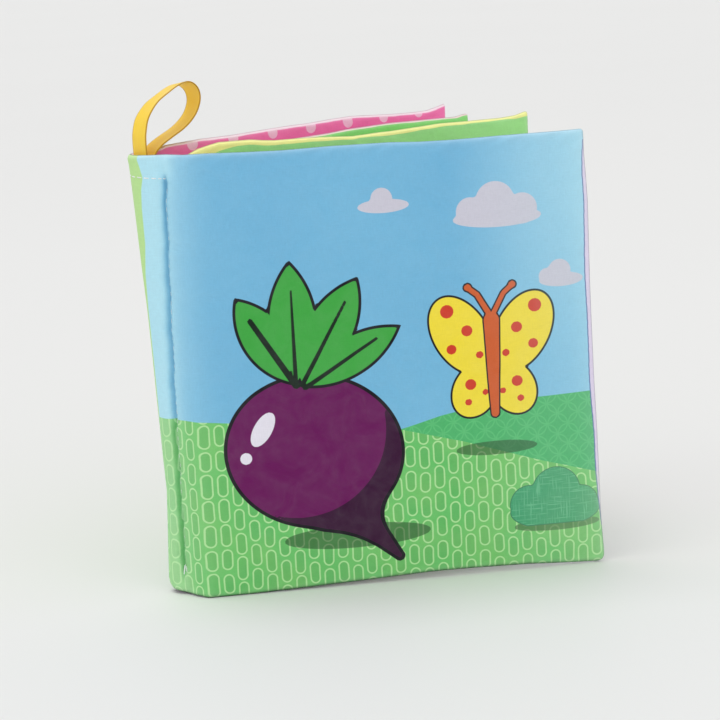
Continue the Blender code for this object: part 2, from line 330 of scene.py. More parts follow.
def makeLatticeGroup():
    # Printed ovals in staggered columns. In a cell: d = |max(|p| - b, 0)| - r, the outline is |d| < w.
    tree, given, result = startGroup(
        "ovalLattice", {"Across": 4.9, "Up": 8.6, "Half Width": 1.6, "Half Height": 4.05, "Stagger": 0.5,
                        "Line": 0.26, "Uneven": 0.5}, ("Line", "Inside"))
    radius, uneven = given["Half Width"], given["Uneven"]
    lean = vectors("SUBTRACT", noise(given["Page"], 0.09, 1.0, "Color"), (0.5, 0.5, 0.5))
    x, y = parts(vectors("ADD", given["Page"], scaled(lean, uneven * 1.5)))[:2]
    # Every column starts at its own height, and its ovals are a little longer or shorter.
    column = x / given["Across"]
    number = maths("FLOOR", column)
    row = y / given["Up"] + number * given["Stagger"] + scattered(number * 12.99, 43.7) * uneven
    shorter = scattered(maths("FLOOR", row) * 7.31 + number * 3.77, 23.1) * uneven * 1.6
    inX = (maths("FRACT", column) - 0.5) * given["Across"]
    inY = (maths("FRACT", row) - 0.5) * given["Up"]
    stem = maths("MAXIMUM", given["Half Height"] - shorter - radius, 0.0)
    distance = length(inX, maths("MAXIMUM", abs(inY) - stem, 0.0)) - radius
    give(result, {"Line": inked(abs(distance) - given["Line"]), "Inside": inked(distance)})
    return tree


def makeRingGroup():
    # Overlapping circles on a square lattice, and on one shifted by half a cell.
    tree, given, result = startGroup("ringLattice", {"Pitch": 7.2, "Radius": 0.47, "Line": 0.24}, ("Line",))
    cell = scaled(given["Page"], 1.0 / given["Pitch"])
    rings = []
    for shift in (0.0, 0.5):
        moved = vectors("ADD", cell, (shift, shift, 0.0))
        x, y = parts(made(tree, "VectorMath", {0: moved}, operation="FRACTION"))[:2]
        gap = abs(length(x - 0.5, y - 0.5) - given["Radius"]) * given["Pitch"]
        rings.append(inked(gap - given["Line"]))
    give(result, {"Line": maths("MAXIMUM", *rings)})
    return tree


weaveGroup, crinkleGroup = makeWeaveGroup(), makeCrinkleGroup()
latticeGroup, ringGroup = makeLatticeGroup(), makeRingGroup()
pageDots = {"Across": 13.0, "Up": 13.0, "Half Width": 2.6, "Half Height": 3.9, "Uneven": 0.04}


def patternColour(page, kind, colour, line, dots=pageDots, shift=(0.0, 0.0, 0.0)):
    # A printed ground: plain, ovals, rings, dots or a hatched cloth pattern.
    colour, line = colourOf(*colour), colourOf(*line)
    if kind == "plain":
        return mixed(noise(page, 0.025, 1.0), colour, line)
    if kind == "ovals":
        ovals = useGroup(latticeGroup, page)
        # The ground runs from a bluer to a warmer green, a little deeper inside the ovals.
        bluer = (colour[0] * 0.76, colour[1] * 0.97, colour[2] * 0.96, 1.0)
        colour = mixed(ranged(noise(page, 0.055, 1.5), 0.36, 0.62), bluer, colour)
        colour = mixed(1.0, colour, grey(ovals["Inside"] * -0.1 + 1.0), "MULTIPLY")
        mask = ovals["Line"]
    elif kind == "dots":
        mask = useGroup(latticeGroup, vectors("ADD", page, shift), dots)["Inside"]
    elif kind == "rings":
        mask = useGroup(ringGroup, page)["Line"]
    else:
        strokes = [noise(vectors("MULTIPLY", page, stretch), 1.0, 2.0)
                   for stretch in ((0.12, 1.9, 1.0), (1.9, 0.12, 1.0))]
        mask = ranged(maths("MAXIMUM", *strokes), 0.55, 0.66) * 0.55
    return mixed(mask, colour, line)


def printMask(tree, name, wider=0.0):
    # 1 inside a printed shape, made wider by some millimetres, 0 outside, soft over a sixth of one.
    return clamped(attribute(tree, name) * -6.0 + (0.5 + 6.0 * wider))


def printedCloth(spec):
    # Printed polyester: ground, printed shapes with outlines, weave, creases and paler edges, rubbed and with
    # a painted highlight.
    material, tree, shader = startMaterial(spec["name"])
    page = attribute(tree, "page", "Vector")
    colour = patternColour(page, *spec["ground"])
    if "glow" in spec:
        light = attribute(tree, "glow")
        colour = mixed(light, colour, colourOf(*spec["glow"]))
    for layer in spec["layers"]:
        if "outline" in layer:
            mask = printMask(tree, layer["shape"], layer["line"])
            colour = mixed(mask, colour, colourOf(*layer["outline"]))
        fill = patternColour(page, layer.get("pattern", "plain"), layer["fill"],
                             layer.get("second", layer["fill"]))
        colour = mixed(printMask(tree, layer["shape"]) * layer.get("strength", 1.0), colour, fill)
    if "glow" in spec:
        # The light also pales the printed shapes, the green ones more.
        grassy = printMask(tree, "field")
        gleam = mixed(grassy, colourOf(208, 246, 246), colourOf(208, 248, 198))
        colour = mixed(light * (grassy * 0.22 + 0.2), colour, gleam)
    weave = useGroup(weaveGroup, page)
    crinkle = useGroup(crinkleGroup, page, {"Size": spec.get("crinkle", 10.0)})
    colour = mixed(1.0, colour, grey(weave["Shade"]), "MULTIPLY")
    # Paler at the turned seams, from rubbed wear and a painted highlight on the rounded edges, with a darker
    # line right in the seam.
    seam = attribute(tree, "seamDistance")
    rub, reach = spec.get("rub", (0.22, 0.8))
    rub = maths("EXPONENT", seam / -reach) * rub + crinkle["Worn"] * 0.03
    colour = mixed(rub, colour, colourOf(250, 250, 250))
    colour = mixed(clamped(seam * -4.0 + 1.0) * 0.35, colour, colourOf(*spec["seamColour"]))
    if "glow" in spec:
        # Shade in the valley of the binding seam and under the foot's hem.
        valley = mixed(1.0, colour, colourOf(150, 190, 205), "MULTIPLY")
        colour = mixed(clamped(attribute(tree, "crease") * 0.6), colour, valley)
        under = mixed(1.0, colour, colourOf(96, 120, 104), "MULTIPLY")
        colour = mixed(attribute(tree, "hem"), colour, under)
    threads = bumped(weave["Height"], 0.5, 0.00006)
    give(shader, {"Base Color": colour, "Roughness": weave["Height"] * 0.08 + 0.66, "Sheen Weight": 0.03,
                  "Sheen Roughness": 0.45, "Specular IOR Level": 0.25,
                  "Normal": bumped(crinkle["Height"], 0.55, 0.00022, threads)})
    return material


print("cloth finishes ready")


def smoothRise(value, low, high):
    # 0 below low, 1 above high, and 3 t^2 - 2 t^3 between.
    share = np.clip((value - low) / (high - low), 0.0, 1.0)
    return share * share * (3.0 - 2.0 * share)


def between(values, rise, fall):
    # 0 on both sides and 1 between: it rises over the first span and falls over the second.
    return smoothRise(values, *rise) * (1.0 - smoothRise(values, *fall))


def bell(distance, width):
    # 1 at the middle, fading out on both sides: exp(-(d / w)^2).
    return np.exp(-(distance / width) ** 2)


def edgeRoll(distance, radius):
    # Quarter round at a seam: sqrt(1 - (1 - d / r)^2).
    return np.sqrt(1.0 - (1.0 - np.clip(distance / radius, 0.0, 1.0)) ** 2)


def pillow(distance, reach):
    # Rise of a stuffed panel away from its seam: 1 - (1 - d / reach)^2.
    return 1.0 - (1.0 - np.clip(distance / reach, 0.0, 1.0)) ** 2


def follow(values, table):
    # The table's second column at values of its first, straight between its rows.
    return np.interp(values, *zip(*table))


def waves(along, up, seed, shortest, longest, count):
    # Sum of sines in seeded directions: sum sin(k (x cos a + y sin a) + phase) / sqrt(count / 2).
    dice = np.random.default_rng(seed)
    total = np.zeros(np.broadcast(along, up).shape)
    for wave in range(count):
        crest = shortest * (longest / shortest) ** dice.random()
        turn, phase = dice.random(2) * fullTurn
        total += np.sin(fullTurn / crest * (along * math.cos(turn) + up * math.sin(turn)) + phase)
    return total / math.sqrt(count / 2.0)


def gradedPlaces(start, end, pitch, fine, reach, near):
    # Places whose spacing is pitch + (fine - pitch) exp(-(distance to the nearest of near / reach)^2).
    dense = np.linspace(start, end, 6000)
    gap = np.min(np.abs(dense[:, None] - np.array(near)[None, :]), axis=1)
    density = 1.0 / (pitch + (fine - pitch) * bell(gap, reach))
    total = np.concatenate([[0.0], np.cumsum((density[1:] + density[:-1]) / 2.0 * np.diff(dense))])
    return np.interp(np.linspace(0.0, total[-1], int(math.ceil(total[-1])) + 1), total, dense)


def splineWeights(count, places):
    # Uniform Catmull-Rom weights of the four points round a place, with f the share past the second:
    # (2f^2 - f^3 - f, 3f^3 - 5f^2 + 2, 4f^2 - 3f^3 + f, f^3 - f^2) / 2.
    cell = np.clip(np.floor(places).astype(int), 0, count - 2)
    f = places - cell
    shares = (2 * f**2 - f**3 - f, 3 * f**3 - 5 * f**2 + 2, 4 * f**2 - 3 * f**3 + f, f**3 - f**2)
    weights = np.zeros((len(places), count))
    for step, share in enumerate(shares):
        np.add.at(weights, (np.arange(len(places)), np.clip(cell + step - 1, 0, count - 1)), share / 2.0)
    return weights


# A printed shape is a function of run u and height v on the page. It gives the distance to the
# shape's outline in millimetres, less than nothing inside.
def circle(place, radius):
    return lambda u, v: np.hypot(u - place[0], v - place[1]) - radius


def oval(place, radii, turnDeg=0.0):
    # Distance to an ellipse, about k (k - 1) / |gradient| with k = |(x / a, y / b)|.
    turn = math.radians(turnDeg)

    def distance(u, v):
        x = (u - place[0]) * math.cos(turn) + (v - place[1]) * math.sin(turn)
        y = (v - place[1]) * math.cos(turn) - (u - place[0]) * math.sin(turn)
        k = np.hypot(x / radii[0], y / radii[1]) + 1e-6
        return k * (k - 1.0) / (np.hypot(x / radii[0]**2, y / radii[1]**2) + 1e-6)

    return distance


def stroke(places, radii):
    # A brush stroke: the least, over its legs, of the distance to the leg less its radius.
    def distance(u, v):
        best = np.inf
        for (a, b, ra, rb) in zip(places[:-1], places[1:], radii[:-1], radii[1:]):
            x, y = b[0] - a[0], b[1] - a[1]
            share = np.clip(((u - a[0]) * x + (v - a[1]) * y) / (x**2 + y**2), 0.0, 1.0)
            far = np.hypot(u - a[0] - x * share, v - a[1] - y * share) - ra - (rb - ra) * share
            best = np.minimum(best, far)
        return best

    return distance


def leafShape(foot, tip, width):
    # A pointed leaf: where two circles of equal size through its foot and tip overlap.
    foot, tip = np.array(foot, float), np.array(tip, float)
    half = np.linalg.norm(tip - foot) / 2.0
    radius = (half**2 + (width / 2.0)**2) / width
    side = np.array([foot[1] - tip[1], tip[0] - foot[0]]) / (2.0 * half) * (radius - width / 2.0)
    middle = (foot + tip) / 2.0
    return within(circle(middle + side, radius), circle(middle - side, radius))


def merged(*shapes):
    return lambda u, v: np.minimum.reduce([shape(u, v) for shape in shapes])


def within(*shapes):
    return lambda u, v: np.maximum.reduce([shape(u, v) for shape in shapes])


def softMerged(first, second, blend):
    # Two shapes run together: min(a, b) - blend h^2 / 4 with h = max(blend - |a - b|, 0) / blend.
    def distance(u, v):
        a, b = first(u, v), second(u, v)
        h = np.maximum(blend - np.abs(a - b), 0.0) / blend
        return np.minimum(a, b) - blend * h * h / 4.0

    return distance


def outside(shape):
    return lambda u, v: -shape(u, v)


def grown(shape, amount):
    return lambda u, v: shape(u, v) - amount


def outlined(shape, half):
    # A line of twice that width along the shape's outline.
    return lambda u, v: np.abs(shape(u, v)) - half


def above(height):
    return lambda u, v: height - v


def below(table):
    # Below a line given as run against height.
    return lambda u, v: v - follow(u, table)


def circles(*spots):
    return merged(*[circle((x, y), radius) for x, y, radius in spots])


def makeObject(name, points, faces, values, pairs, material):
    # Points are in millimetres. The faces are turned outwards by the sign of the closed volume.
    points = np.asarray(points, float) * mm
    faces = np.asarray(faces, int)
    a, b, c, d = (points[faces[:, corner]] for corner in range(4))
    volume = np.sum(np.cross(b - a, c - a) * (a + b + c)) + np.sum(np.cross(c - a, d - a) * (a + c + d))
    if volume < 0.0:
        faces = faces[:, ::-1]
    mesh = bpy.data.meshes.new(name)
    mesh.from_pydata(points.tolist(), [], faces.tolist())
    for table, kind, field in ((values, "FLOAT", "value"), (pairs, "FLOAT_VECTOR", "vector")):
        for key, array in table.items():
            layer = mesh.attributes.new(key, kind, "POINT")
            layer.data.foreach_set(field, np.asarray(array, np.float32).ravel())
    mesh.shade_smooth()
    mesh.materials.append(material)
    return addObject(name, mesh)


def bothSides(array):
    # A grid's values for the outer face, then those inside its border for the inner face.
    tail = array.shape[2:]
    return np.concatenate([array.reshape(-1, *tail), array[1:-1, 1:-1].reshape(-1, *tail)])


def makeShell(name, outer, inner, values, pairs, material, squareStart=False):
    # A closed sheet between two grids, rows x columns x 3, whose borders are the same points. A square
    # start keeps the shading of its first column flat, so that it runs on into the next cloth.
    rows, columns = outer.shape[:2]
    front = np.arange(rows * columns).reshape(rows, columns)
    back = front.copy()
    back[1:-1, 1:-1] = rows * columns + np.arange((rows - 2) * (columns - 2)).reshape(rows - 2, columns - 2)
    points = np.concatenate([outer.reshape(-1, 3), inner[1:-1, 1:-1].reshape(-1, 3)])
    quads = [np.stack([index[:-1, :-1], index[:-1, 1:], index[1:, 1:], index[1:, :-1]], -1).reshape(-1, 4)
             for index in (front, back)]
    piece = makeObject(name, points, np.concatenate([quads[0], quads[1][:, ::-1]]),
                       {key: bothSides(array) for key, array in values.items()},
                       {key: bothSides(array) for key, array in pairs.items()}, material)
    if squareStart:
        ends = np.zeros(len(piece.data.edges) * 2, np.int32)
        piece.data.edges.foreach_get("vertices", ends)
        first = np.zeros(len(points), bool)
        first[front[:, 0]] = True
        layer = piece.data.attributes.new("sharp_edge", "BOOLEAN", "EDGE")
        layer.data.foreach_set("value", first[ends.reshape(-1, 2)].all(axis=1))
    return piece


def tubeGrid(path, radii, sides):
    # A tube along a path: centre + r (cos a first + sin a second), both square to the path's run.
    run = np.gradient(path, axis=0)
    run /= np.linalg.norm(run, axis=1)[:, None]
    first = np.cross(run, np.array([0.31, 0.47, 0.83]))
    first /= np.linalg.norm(first, axis=1)[:, None]
    second = np.cross(run, first)
    turn = fullTurn * np.arange(sides) / sides
    points = path[:, None] + radii[:, None, None] * (
        np.cos(turn)[None, :, None] * first[:, None] + np.sin(turn)[None, :, None] * second[:, None])
    index = np.arange(len(path) * sides).reshape(len(path), sides)
    after = np.roll(index, -1, axis=1)
    return points.reshape(-1, 3), np.stack([index[:-1], after[:-1], after[1:], index[1:]], -1).reshape(-1, 4)


# The two folded sheets. Each fold is a plan curve, kept as points at the foot and at the top, from
# the front leaf round to the back leaf. The middle point is where the two halves of a cloth meet.
coverSheet = {
    "leaves": (0, 3),
    "foot": [(14.0, -5.22), (9.5, -5.22), (6.4, -5.1), (4.3, -3.4), (1.9, -0.9), (-0.7, 1.9), (-2.7, 3.1),
             (-4.1, 4.7), (-4.8, 6.5), (-4.5, 8.0), (-3.4, 8.9), (-1.7, 8.4), (-0.1, 7.94), (2.9, 10.15),
             (6.9, 13.1)],
    "top": [(14.0, -5.22), (10.0, -5.22), (7.7, -5.1), (5.8, -3.5), (2.3, -0.5), (-0.8, -0.5), (-4.6, 0.6),
            (-7.7, 3.3), (-8.7, 6.6), (-8.5, 9.0), (-7.0, 10.4), (-3.6, 9.2), (-0.1, 7.94), (2.9, 10.15),
            (6.9, 13.1)],
    "middle": 9,
    "valleyKnot": 4.0, "valleyDepth": 1.15, "valleyWidth": 0.85, "valleyPinch": 0.42, "puffRise": 0.5,
    # How far the fold is drawn in towards its centre, for each height.
    "drawIn": [(0, 0.3), (2, -0.6), (4, -0.9), (14, -0.35), (25, 0.35), (35, 1.0), (46, 0.7), (67, 0.45),
               (98, 0.4), (112, 0.1), (150, 0.0)],
    "centre": (1.2, 5.4), "foldHalf": 0.9, "liningHalf": 0.75, "edgeHalf": 0.75, "edgeRadius": 1.5,
}
innerFold = [(13.3, 2.42), (10.0, 1.28), (8.07, 0.61), (6.5, 0.7), (5.1, 2.4), (4.7, 4.5), (5.6, 5.87),
             (7.31, 6.93), (10.3, 8.8)]
innerSheet = {
    "leaves": (1, 2), "foot": innerFold, "top": innerFold, "middle": 4,
    "valleyDepth": 0.0, "valleyPinch": 0.0, "puffRise": 0.0,
    "foldHalf": 0.62, "liningHalf": 0.62, "edgeHalf": 0.72, "edgeRadius": 1.4,
}
# Outlines of the leaves as the photo shows them: run from the hinge against height.
leafOutlines = [
    {"top": [(-12, 150.4), (-4.3, 150.3), (9.2, 150.2), (20.6, 149.8), (33.8, 149.5), (50.2, 149.8),
             (70, 149.7), (79.8, 149.2), (90.2, 149.1), (98, 149.2), (107, 149.4), (116, 149.5),
             (127.3, 149.6), (135.1, 149.8)],
     "bottom": [(-18, 1.0), (-13, 0.8), (-9, 0.4), (-5.0, 0.2), (-1.9, 0.1), (0.5, 0.0), (14.1, 0.0),
                (31.2, 0.4), (44, 0.8), (51.5, 1.0), (60, 1.3), (68, 1.6), (76, 1.9), (85, 1.9), (93.6, 1.8),
                (101, 1.6), (110, 1.4), (118, 0.9), (126, 0.5), (136.9, 0.1)],
     "fore": [(3.8, 137.4), (14.7, 136.8), (29, 136.6), (46.7, 136.4), (64.2, 136.0), (81.6, 135.8),
              (98.7, 135.7), (112.4, 135.8), (125.9, 135.9), (134, 135.6), (141, 135.2), (148.9, 135.1)]},
    {"top": [(2, 146.5), (6, 149.5), (9.5, 151.0), (14, 152.0), (17.5, 152.6), (23, 152.5), (29, 152.4),
             (33.7, 151.7), (38, 151.3), (46, 151.15), (55, 150.8), (59, 150.5), (67, 149.95), (72, 150.1),
             (76, 150.3), (81, 150.3), (95, 150.9), (101, 151.2), (111, 151.0), (125, 150.9), (131, 151.3),
             (134.5, 152.2), (137, 152.5)],
     "bottom": [(2, 3.2), (6, 1.2), (14, 0.2), (40, 0.5), (80, 0.6), (120, 0.2), (137, 0.1)],
     "fore": [(0, 136.9), (40, 136.5), (100, 136.3), (150, 136.6)]},
    {"top": [(2, 146.0), (5.4, 148.5), (20, 149.0), (50, 149.3), (70, 149.6), (78, 150.1), (98.5, 150.3),
             (112, 149.9), (122.5, 149.6), (129.8, 149.4), (133, 149.9), (136, 150.0)],
     "bottom": [(2, 3.2), (6, 1.2), (14, 0.2), (40, 0.4), (80, 0.3), (120, 0.1), (137, 0.0)],
     "fore": [(0, 136.4), (40, 136.0), (100, 135.8), (150, 136.0)]},
    {"top": [(-14, 150.2), (-4, 150.4), (0, 151.4), (3.8, 152.3), (19, 152.7), (33.3, 152.5),
             (50.7, 152.8), (60, 152.9), (68.7, 152.8), (79.5, 153.1), (89.4, 153.2), (98, 152.6),
             (109.5, 151.8), (118, 151.4), (126, 151.3), (131, 152.0), (135, 152.8), (138.6, 153.2)],
     "bottom": [(-14, 1.0), (-5, 0.8), (0, 0.3), (14, 0.0), (40, 0.4), (80, 0.5), (120, 0.1), (137, 0.0)],
     "fore": [(0, 137.4), (40, 137.2), (100, 137.6), (150, 138.6)]},
]
cornerRadii = {"low": 2.6, "high": 1.2}
# The binding seam wavers by sines of a size, length and phase. Beside it the cloth puffs up, and its
# lip puckers at each stitch. A swelling has a size, a distance beyond the seam and a width.
bindingDetail = {"wavers": [(0.16, 3.1, 0.0), (0.12, 1.37, 1.0)], "valleyEnds": ((5.0, 11.0), (141.0, 144.5)),
                 "puffEnds": ((3.0, 12.0), (140.0, 146.0)), "puff": [(0.75, -3.4, 2.0), (0.45, 2.4, 1.6)],
                 "lipRise": 0.17, "lip": [(1.0, 1.1, 0.8), (0.5, -1.5, 0.9)],
                 "stitchPitch": 2.9, "stitchSway": 0.9, "swayLength": 5.3}
# Waves in a cloth: size, what is added to its seed, shortest and longest wave, and how many.
ripples = {"soft": (0.12, 0, 16.0, 46.0, 9), "fine": (0.045, 50, 5.0, 11.0, 12),
           "pucker": (0.12, 90, 3.4, 7.0, 8)}
puckerReach = 3.5
clothShape = {"thickness": 0.5, "leastHalf": 0.3, "pillow": 1.1, "pillowReach": 34.0, "hingeReach": 22.0,
              "stretchReach": 60.0, "seamAllowance": 1.5, "foldMargin": 0.3, "fineShare": 0.42,
              "fineReach": 5.0, "fineNear": (2.0, 8.0, 13.0, 18.0)}


def foldPlan(sheet, heights, front, places):
    # Plan of a sheet's fold: spline through points that go from foot to top with (z / height)^2.
    # Places count knots from the fold's middle towards the front or the back leaf.
    foot, top, middle = np.array(sheet["foot"], float), np.array(sheet["top"], float), sheet["middle"]
    share = np.clip(heights / leafHeight, 0.0, 1.0) ** 2
    knots = foot[None] + (top - foot)[None] * share[:, None, None]
    if "drawIn" in sheet:
        inward = np.array(sheet["centre"]) - knots
        inward /= np.linalg.norm(inward, axis=2)[..., None] + 1e-6
        held = np.clip(1.0 - np.abs(np.arange(len(foot)) - middle) / 4.0, 0.0, 1.0) ** 0.6
        knots = knots + inward * follow(heights, sheet["drawIn"])[:, None, None] * held[None, :, None]
    start = len(foot) - 1 - middle if front else middle
    weights = splineWeights(len(foot), np.asarray(places) + start)
    return np.einsum("ck,rkd->rcd", weights, knots[:, ::-1] if front else knots)


def bindingSeam(sheet, heights, fold, knots, lengths):
    # The binding seam: its distance from the fold's middle at each height, and the valley's depth as
    # a share, exp(-(away / width)^2). It runs between two knots of the fold and lets go near both ends.
    seamAt = np.interp(sheet["valleyKnot"] + np.clip(heights / leafHeight, 0.0, 1.0) ** 2, knots, lengths)
    for size, wave, phase in bindingDetail["wavers"]:
        seamAt = seamAt + size * np.sin(heights / wave + phase)
    hold = between(heights, *bindingDetail["valleyEnds"])
    away = (fold - seamAt[:, None]) / sheet["valleyWidth"]
    return seamAt, hold[:, None] * bell(np.where(away < 0.0, away * 0.8, away * 1.15), 1.0)


def roundCorners(fore, low, high):
    # Rounded corners: p sqrt(1 - q^2 / 2) and q sqrt(1 - p^2 / 2), with p and q the shares into one.
    newFore, newLow, newHigh = fore.copy(), low.copy(), high.copy()
    for near, moved, radius in ((low, newLow, cornerRadii["low"]), (high, newHigh, cornerRadii["high"])):
        p, q = np.clip(1.0 - fore / radius, 0.0, 1.0), np.clip(1.0 - near / radius, 0.0, 1.0)
        inside = (p > 0.0) & (q > 0.0)
        newFore[inside] = radius * (1.0 - (p * np.sqrt(1.0 - q * q / 2.0))[inside])
        moved[inside] = radius * (1.0 - (q * np.sqrt(1.0 - p * p / 2.0))[inside])
    return newFore, newLow, newHigh


def clothGrid(sheet, leaf, pitch, rowPitch):
    # The sheet's half that ends in one leaf, as a grid of rows up and columns from the fold's middle
    # to the fore edge: plan core, normal towards the sheet's outside, run, height and edge distances.
    front = leaf == sheet["leaves"][0]
    outline, hinge, ahead = leafOutlines[leaf], hinges[leaf], leafRuns[leaf]
    heights = gradedPlaces(0.0, leafHeight, rowPitch, 0.5 * rowPitch, 4.0, [0.0, leafHeight])
    half = sheet["middle"] + 1 if front else len(sheet["foot"]) - sheet["middle"]
    knots = np.linspace(0.0, half - 1.0, 1200)
    middleCurve = foldPlan(sheet, np.array([leafHeight * 0.55]), front, knots)[0]
    lengths = np.concatenate([[0.0], np.cumsum(np.linalg.norm(np.diff(middleCurve, axis=0), axis=1))])
    foldLength = lengths[-1]
    runEnd = float((middleCurve[-1] - hinge) @ ahead)
    reach = foldLength + leafReach - runEnd
    fine, fineNear = clothShape["fineShare"] * pitch, [*clothShape["fineNear"], reach]
    columns = gradedPlaces(0.0, reach, pitch, fine, clothShape["fineReach"], fineNear)
    count = int(np.sum(columns < foldLength - clothShape["foldMargin"]))
    plan = np.zeros((len(heights), len(columns), 2))
    plan[:, :count] = foldPlan(sheet, heights, front, np.interp(columns[:count], lengths, knots))
    plan[:, count:] = hinge + (runEnd + columns[count:] - foldLength)[:, None] * ahead
    fold = np.broadcast_to(columns, plan.shape[:2])
    seamAt, carve = np.full(len(heights), 1e3), np.zeros(plan.shape[:2])
    if front and "valleyKnot" in sheet:
        seamAt, carve = bindingSeam(sheet, heights, fold, knots, lengths)
    run = (plan - hinge) @ ahead
    run[:, :count] = runEnd - (foldLength - columns[:count])[None]
    # The fore edge: its neighbourhood is stretched to the outline's run at each height.
    lastRun = run[0, -1]
    stretch = (follow(heights, outline["fore"]) - lastRun)[:, None] * smoothRise(
        run, lastRun - clothShape["stretchReach"], lastRun)
    fore = lastRun - run
    bottomLine, topLine = follow(run, outline["bottom"]), follow(run, outline["top"])
    low = (heights / leafHeight)[:, None] * (topLine - bottomLine)
    high = topLine - bottomLine - low
    newFore, newLow, newHigh = roundCorners(fore, low, high)
    stretch = stretch + fore - newFore
    plan = plan + stretch[..., None] * ahead
    height = np.where(low < high, bottomLine + newLow, topLine - newHigh)
    slope = np.gradient(plan, axis=1)
    # At the fold's middle both halves take the slope across it, so that they meet without a slit.
    beyondMiddle = foldPlan(sheet, heights, front, [-0.05, 0.05])
    slope[:, 0] = beyondMiddle[:, 1] - beyondMiddle[:, 0]
    slope /= np.linalg.norm(slope, axis=2)[..., None] + 1e-9
    normal = np.stack([slope[..., 1], -slope[..., 0]], -1) * (1.0 if front else -1.0)
    plan = plan - normal * (sheet["valleyDepth"] * carve)[..., None]
    return {"carve": carve, "seamAt": np.broadcast_to(seamAt[:, None], run.shape), "plan": plan,
            "normal": normal, "run": run + stretch, "height": height, "fore": fore, "low": low, "high": high,
            "near": np.minimum(np.minimum(low, high), fore), "fold": fold}


def puckerBeat(height):
    # The rhythm of the puckers along the binding seam, one for each stitch.
    sway = bindingDetail["stitchSway"] * np.sin(height / bindingDetail["swayLength"])
    return np.sin(fullTurn * height / bindingDetail["stitchPitch"] + sway)


def swellings(beside, rows):
    # The sum of size x exp(-((beside - place) / width)^2).
    return sum(size * bell(beside - place, width) for size, place, width in rows)


def leafHalf(sheet, grid, outward, seed):
    # Half thickness of a leaf: roll x ((base + pillow x rise) x pinch + seam + waves). The part in the
    # outer brackets is at least leastHalf, and the roll makes the whole nothing at the outer seams.
    run, height, edges = grid["run"], grid["height"], (grid["fore"], grid["low"], grid["high"])
    roll, rise = 1.0, 1.0
    for edge in edges:
        roll = roll * edgeRoll(edge, sheet["edgeRadius"])
        rise = rise * pillow(edge, clothShape["pillowReach"])
    rise = rise * pillow(np.maximum(run, 0.0), clothShape["hingeReach"])
    away = smoothRise(run, -1.0, 8.0)
    seamHalf = sheet["foldHalf"] if outward else sheet["liningHalf"]
    base = seamHalf + (sheet["edgeHalf"] - seamHalf) * away

    def ripple(kind, share=1.0):
        # Waves of one kind, at a share of their size.
        size, added, *rest = ripples[kind]
        return size * share * waves(run, height, seed + added, *rest)

    soft, fine, pucker = ripple("soft"), ripple("fine"), ripple("pucker", bell(grid["near"], puckerReach))
    # Beside the binding seam the cloth is pinched thin, puffs up on both sides and puckers on its lip.
    beside = grid["fold"] - grid["seamAt"]
    pinch = 1.0 - sheet["valleyPinch"] * grid["carve"]
    puff = sheet["puffRise"] * swellings(beside, bindingDetail["puff"])
    lip = bindingDetail["lipRise"] * puckerBeat(height) * swellings(beside, bindingDetail["lip"])
    seam = (puff + lip) * between(height, *bindingDetail["puffEnds"]) * (1.0 if outward else 0.0)
    return roll * np.maximum((base + clothShape["pillow"] * rise) * pinch + seam + rise * soft
                             + fine * roll * away + pucker * roll, clothShape["leastHalf"])


def clothPoints(grid, offset):
    # Points at an offset from the core along its normal.
    plan = grid["plan"] + grid["normal"] * offset[..., None]
    return np.concatenate([plan, grid["height"][..., None]], axis=2)


# Where a leaf's cloths pass from the spine to the leaf: a run before and after the hinge, for the first three
# leaves.
blendSpans = [(-2.0, 3.5), (2.5, 8.0), (2.5, 8.0)]


def clothBlend(piece, leaf):
    leaf < len(blendSpans)
    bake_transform(piece)


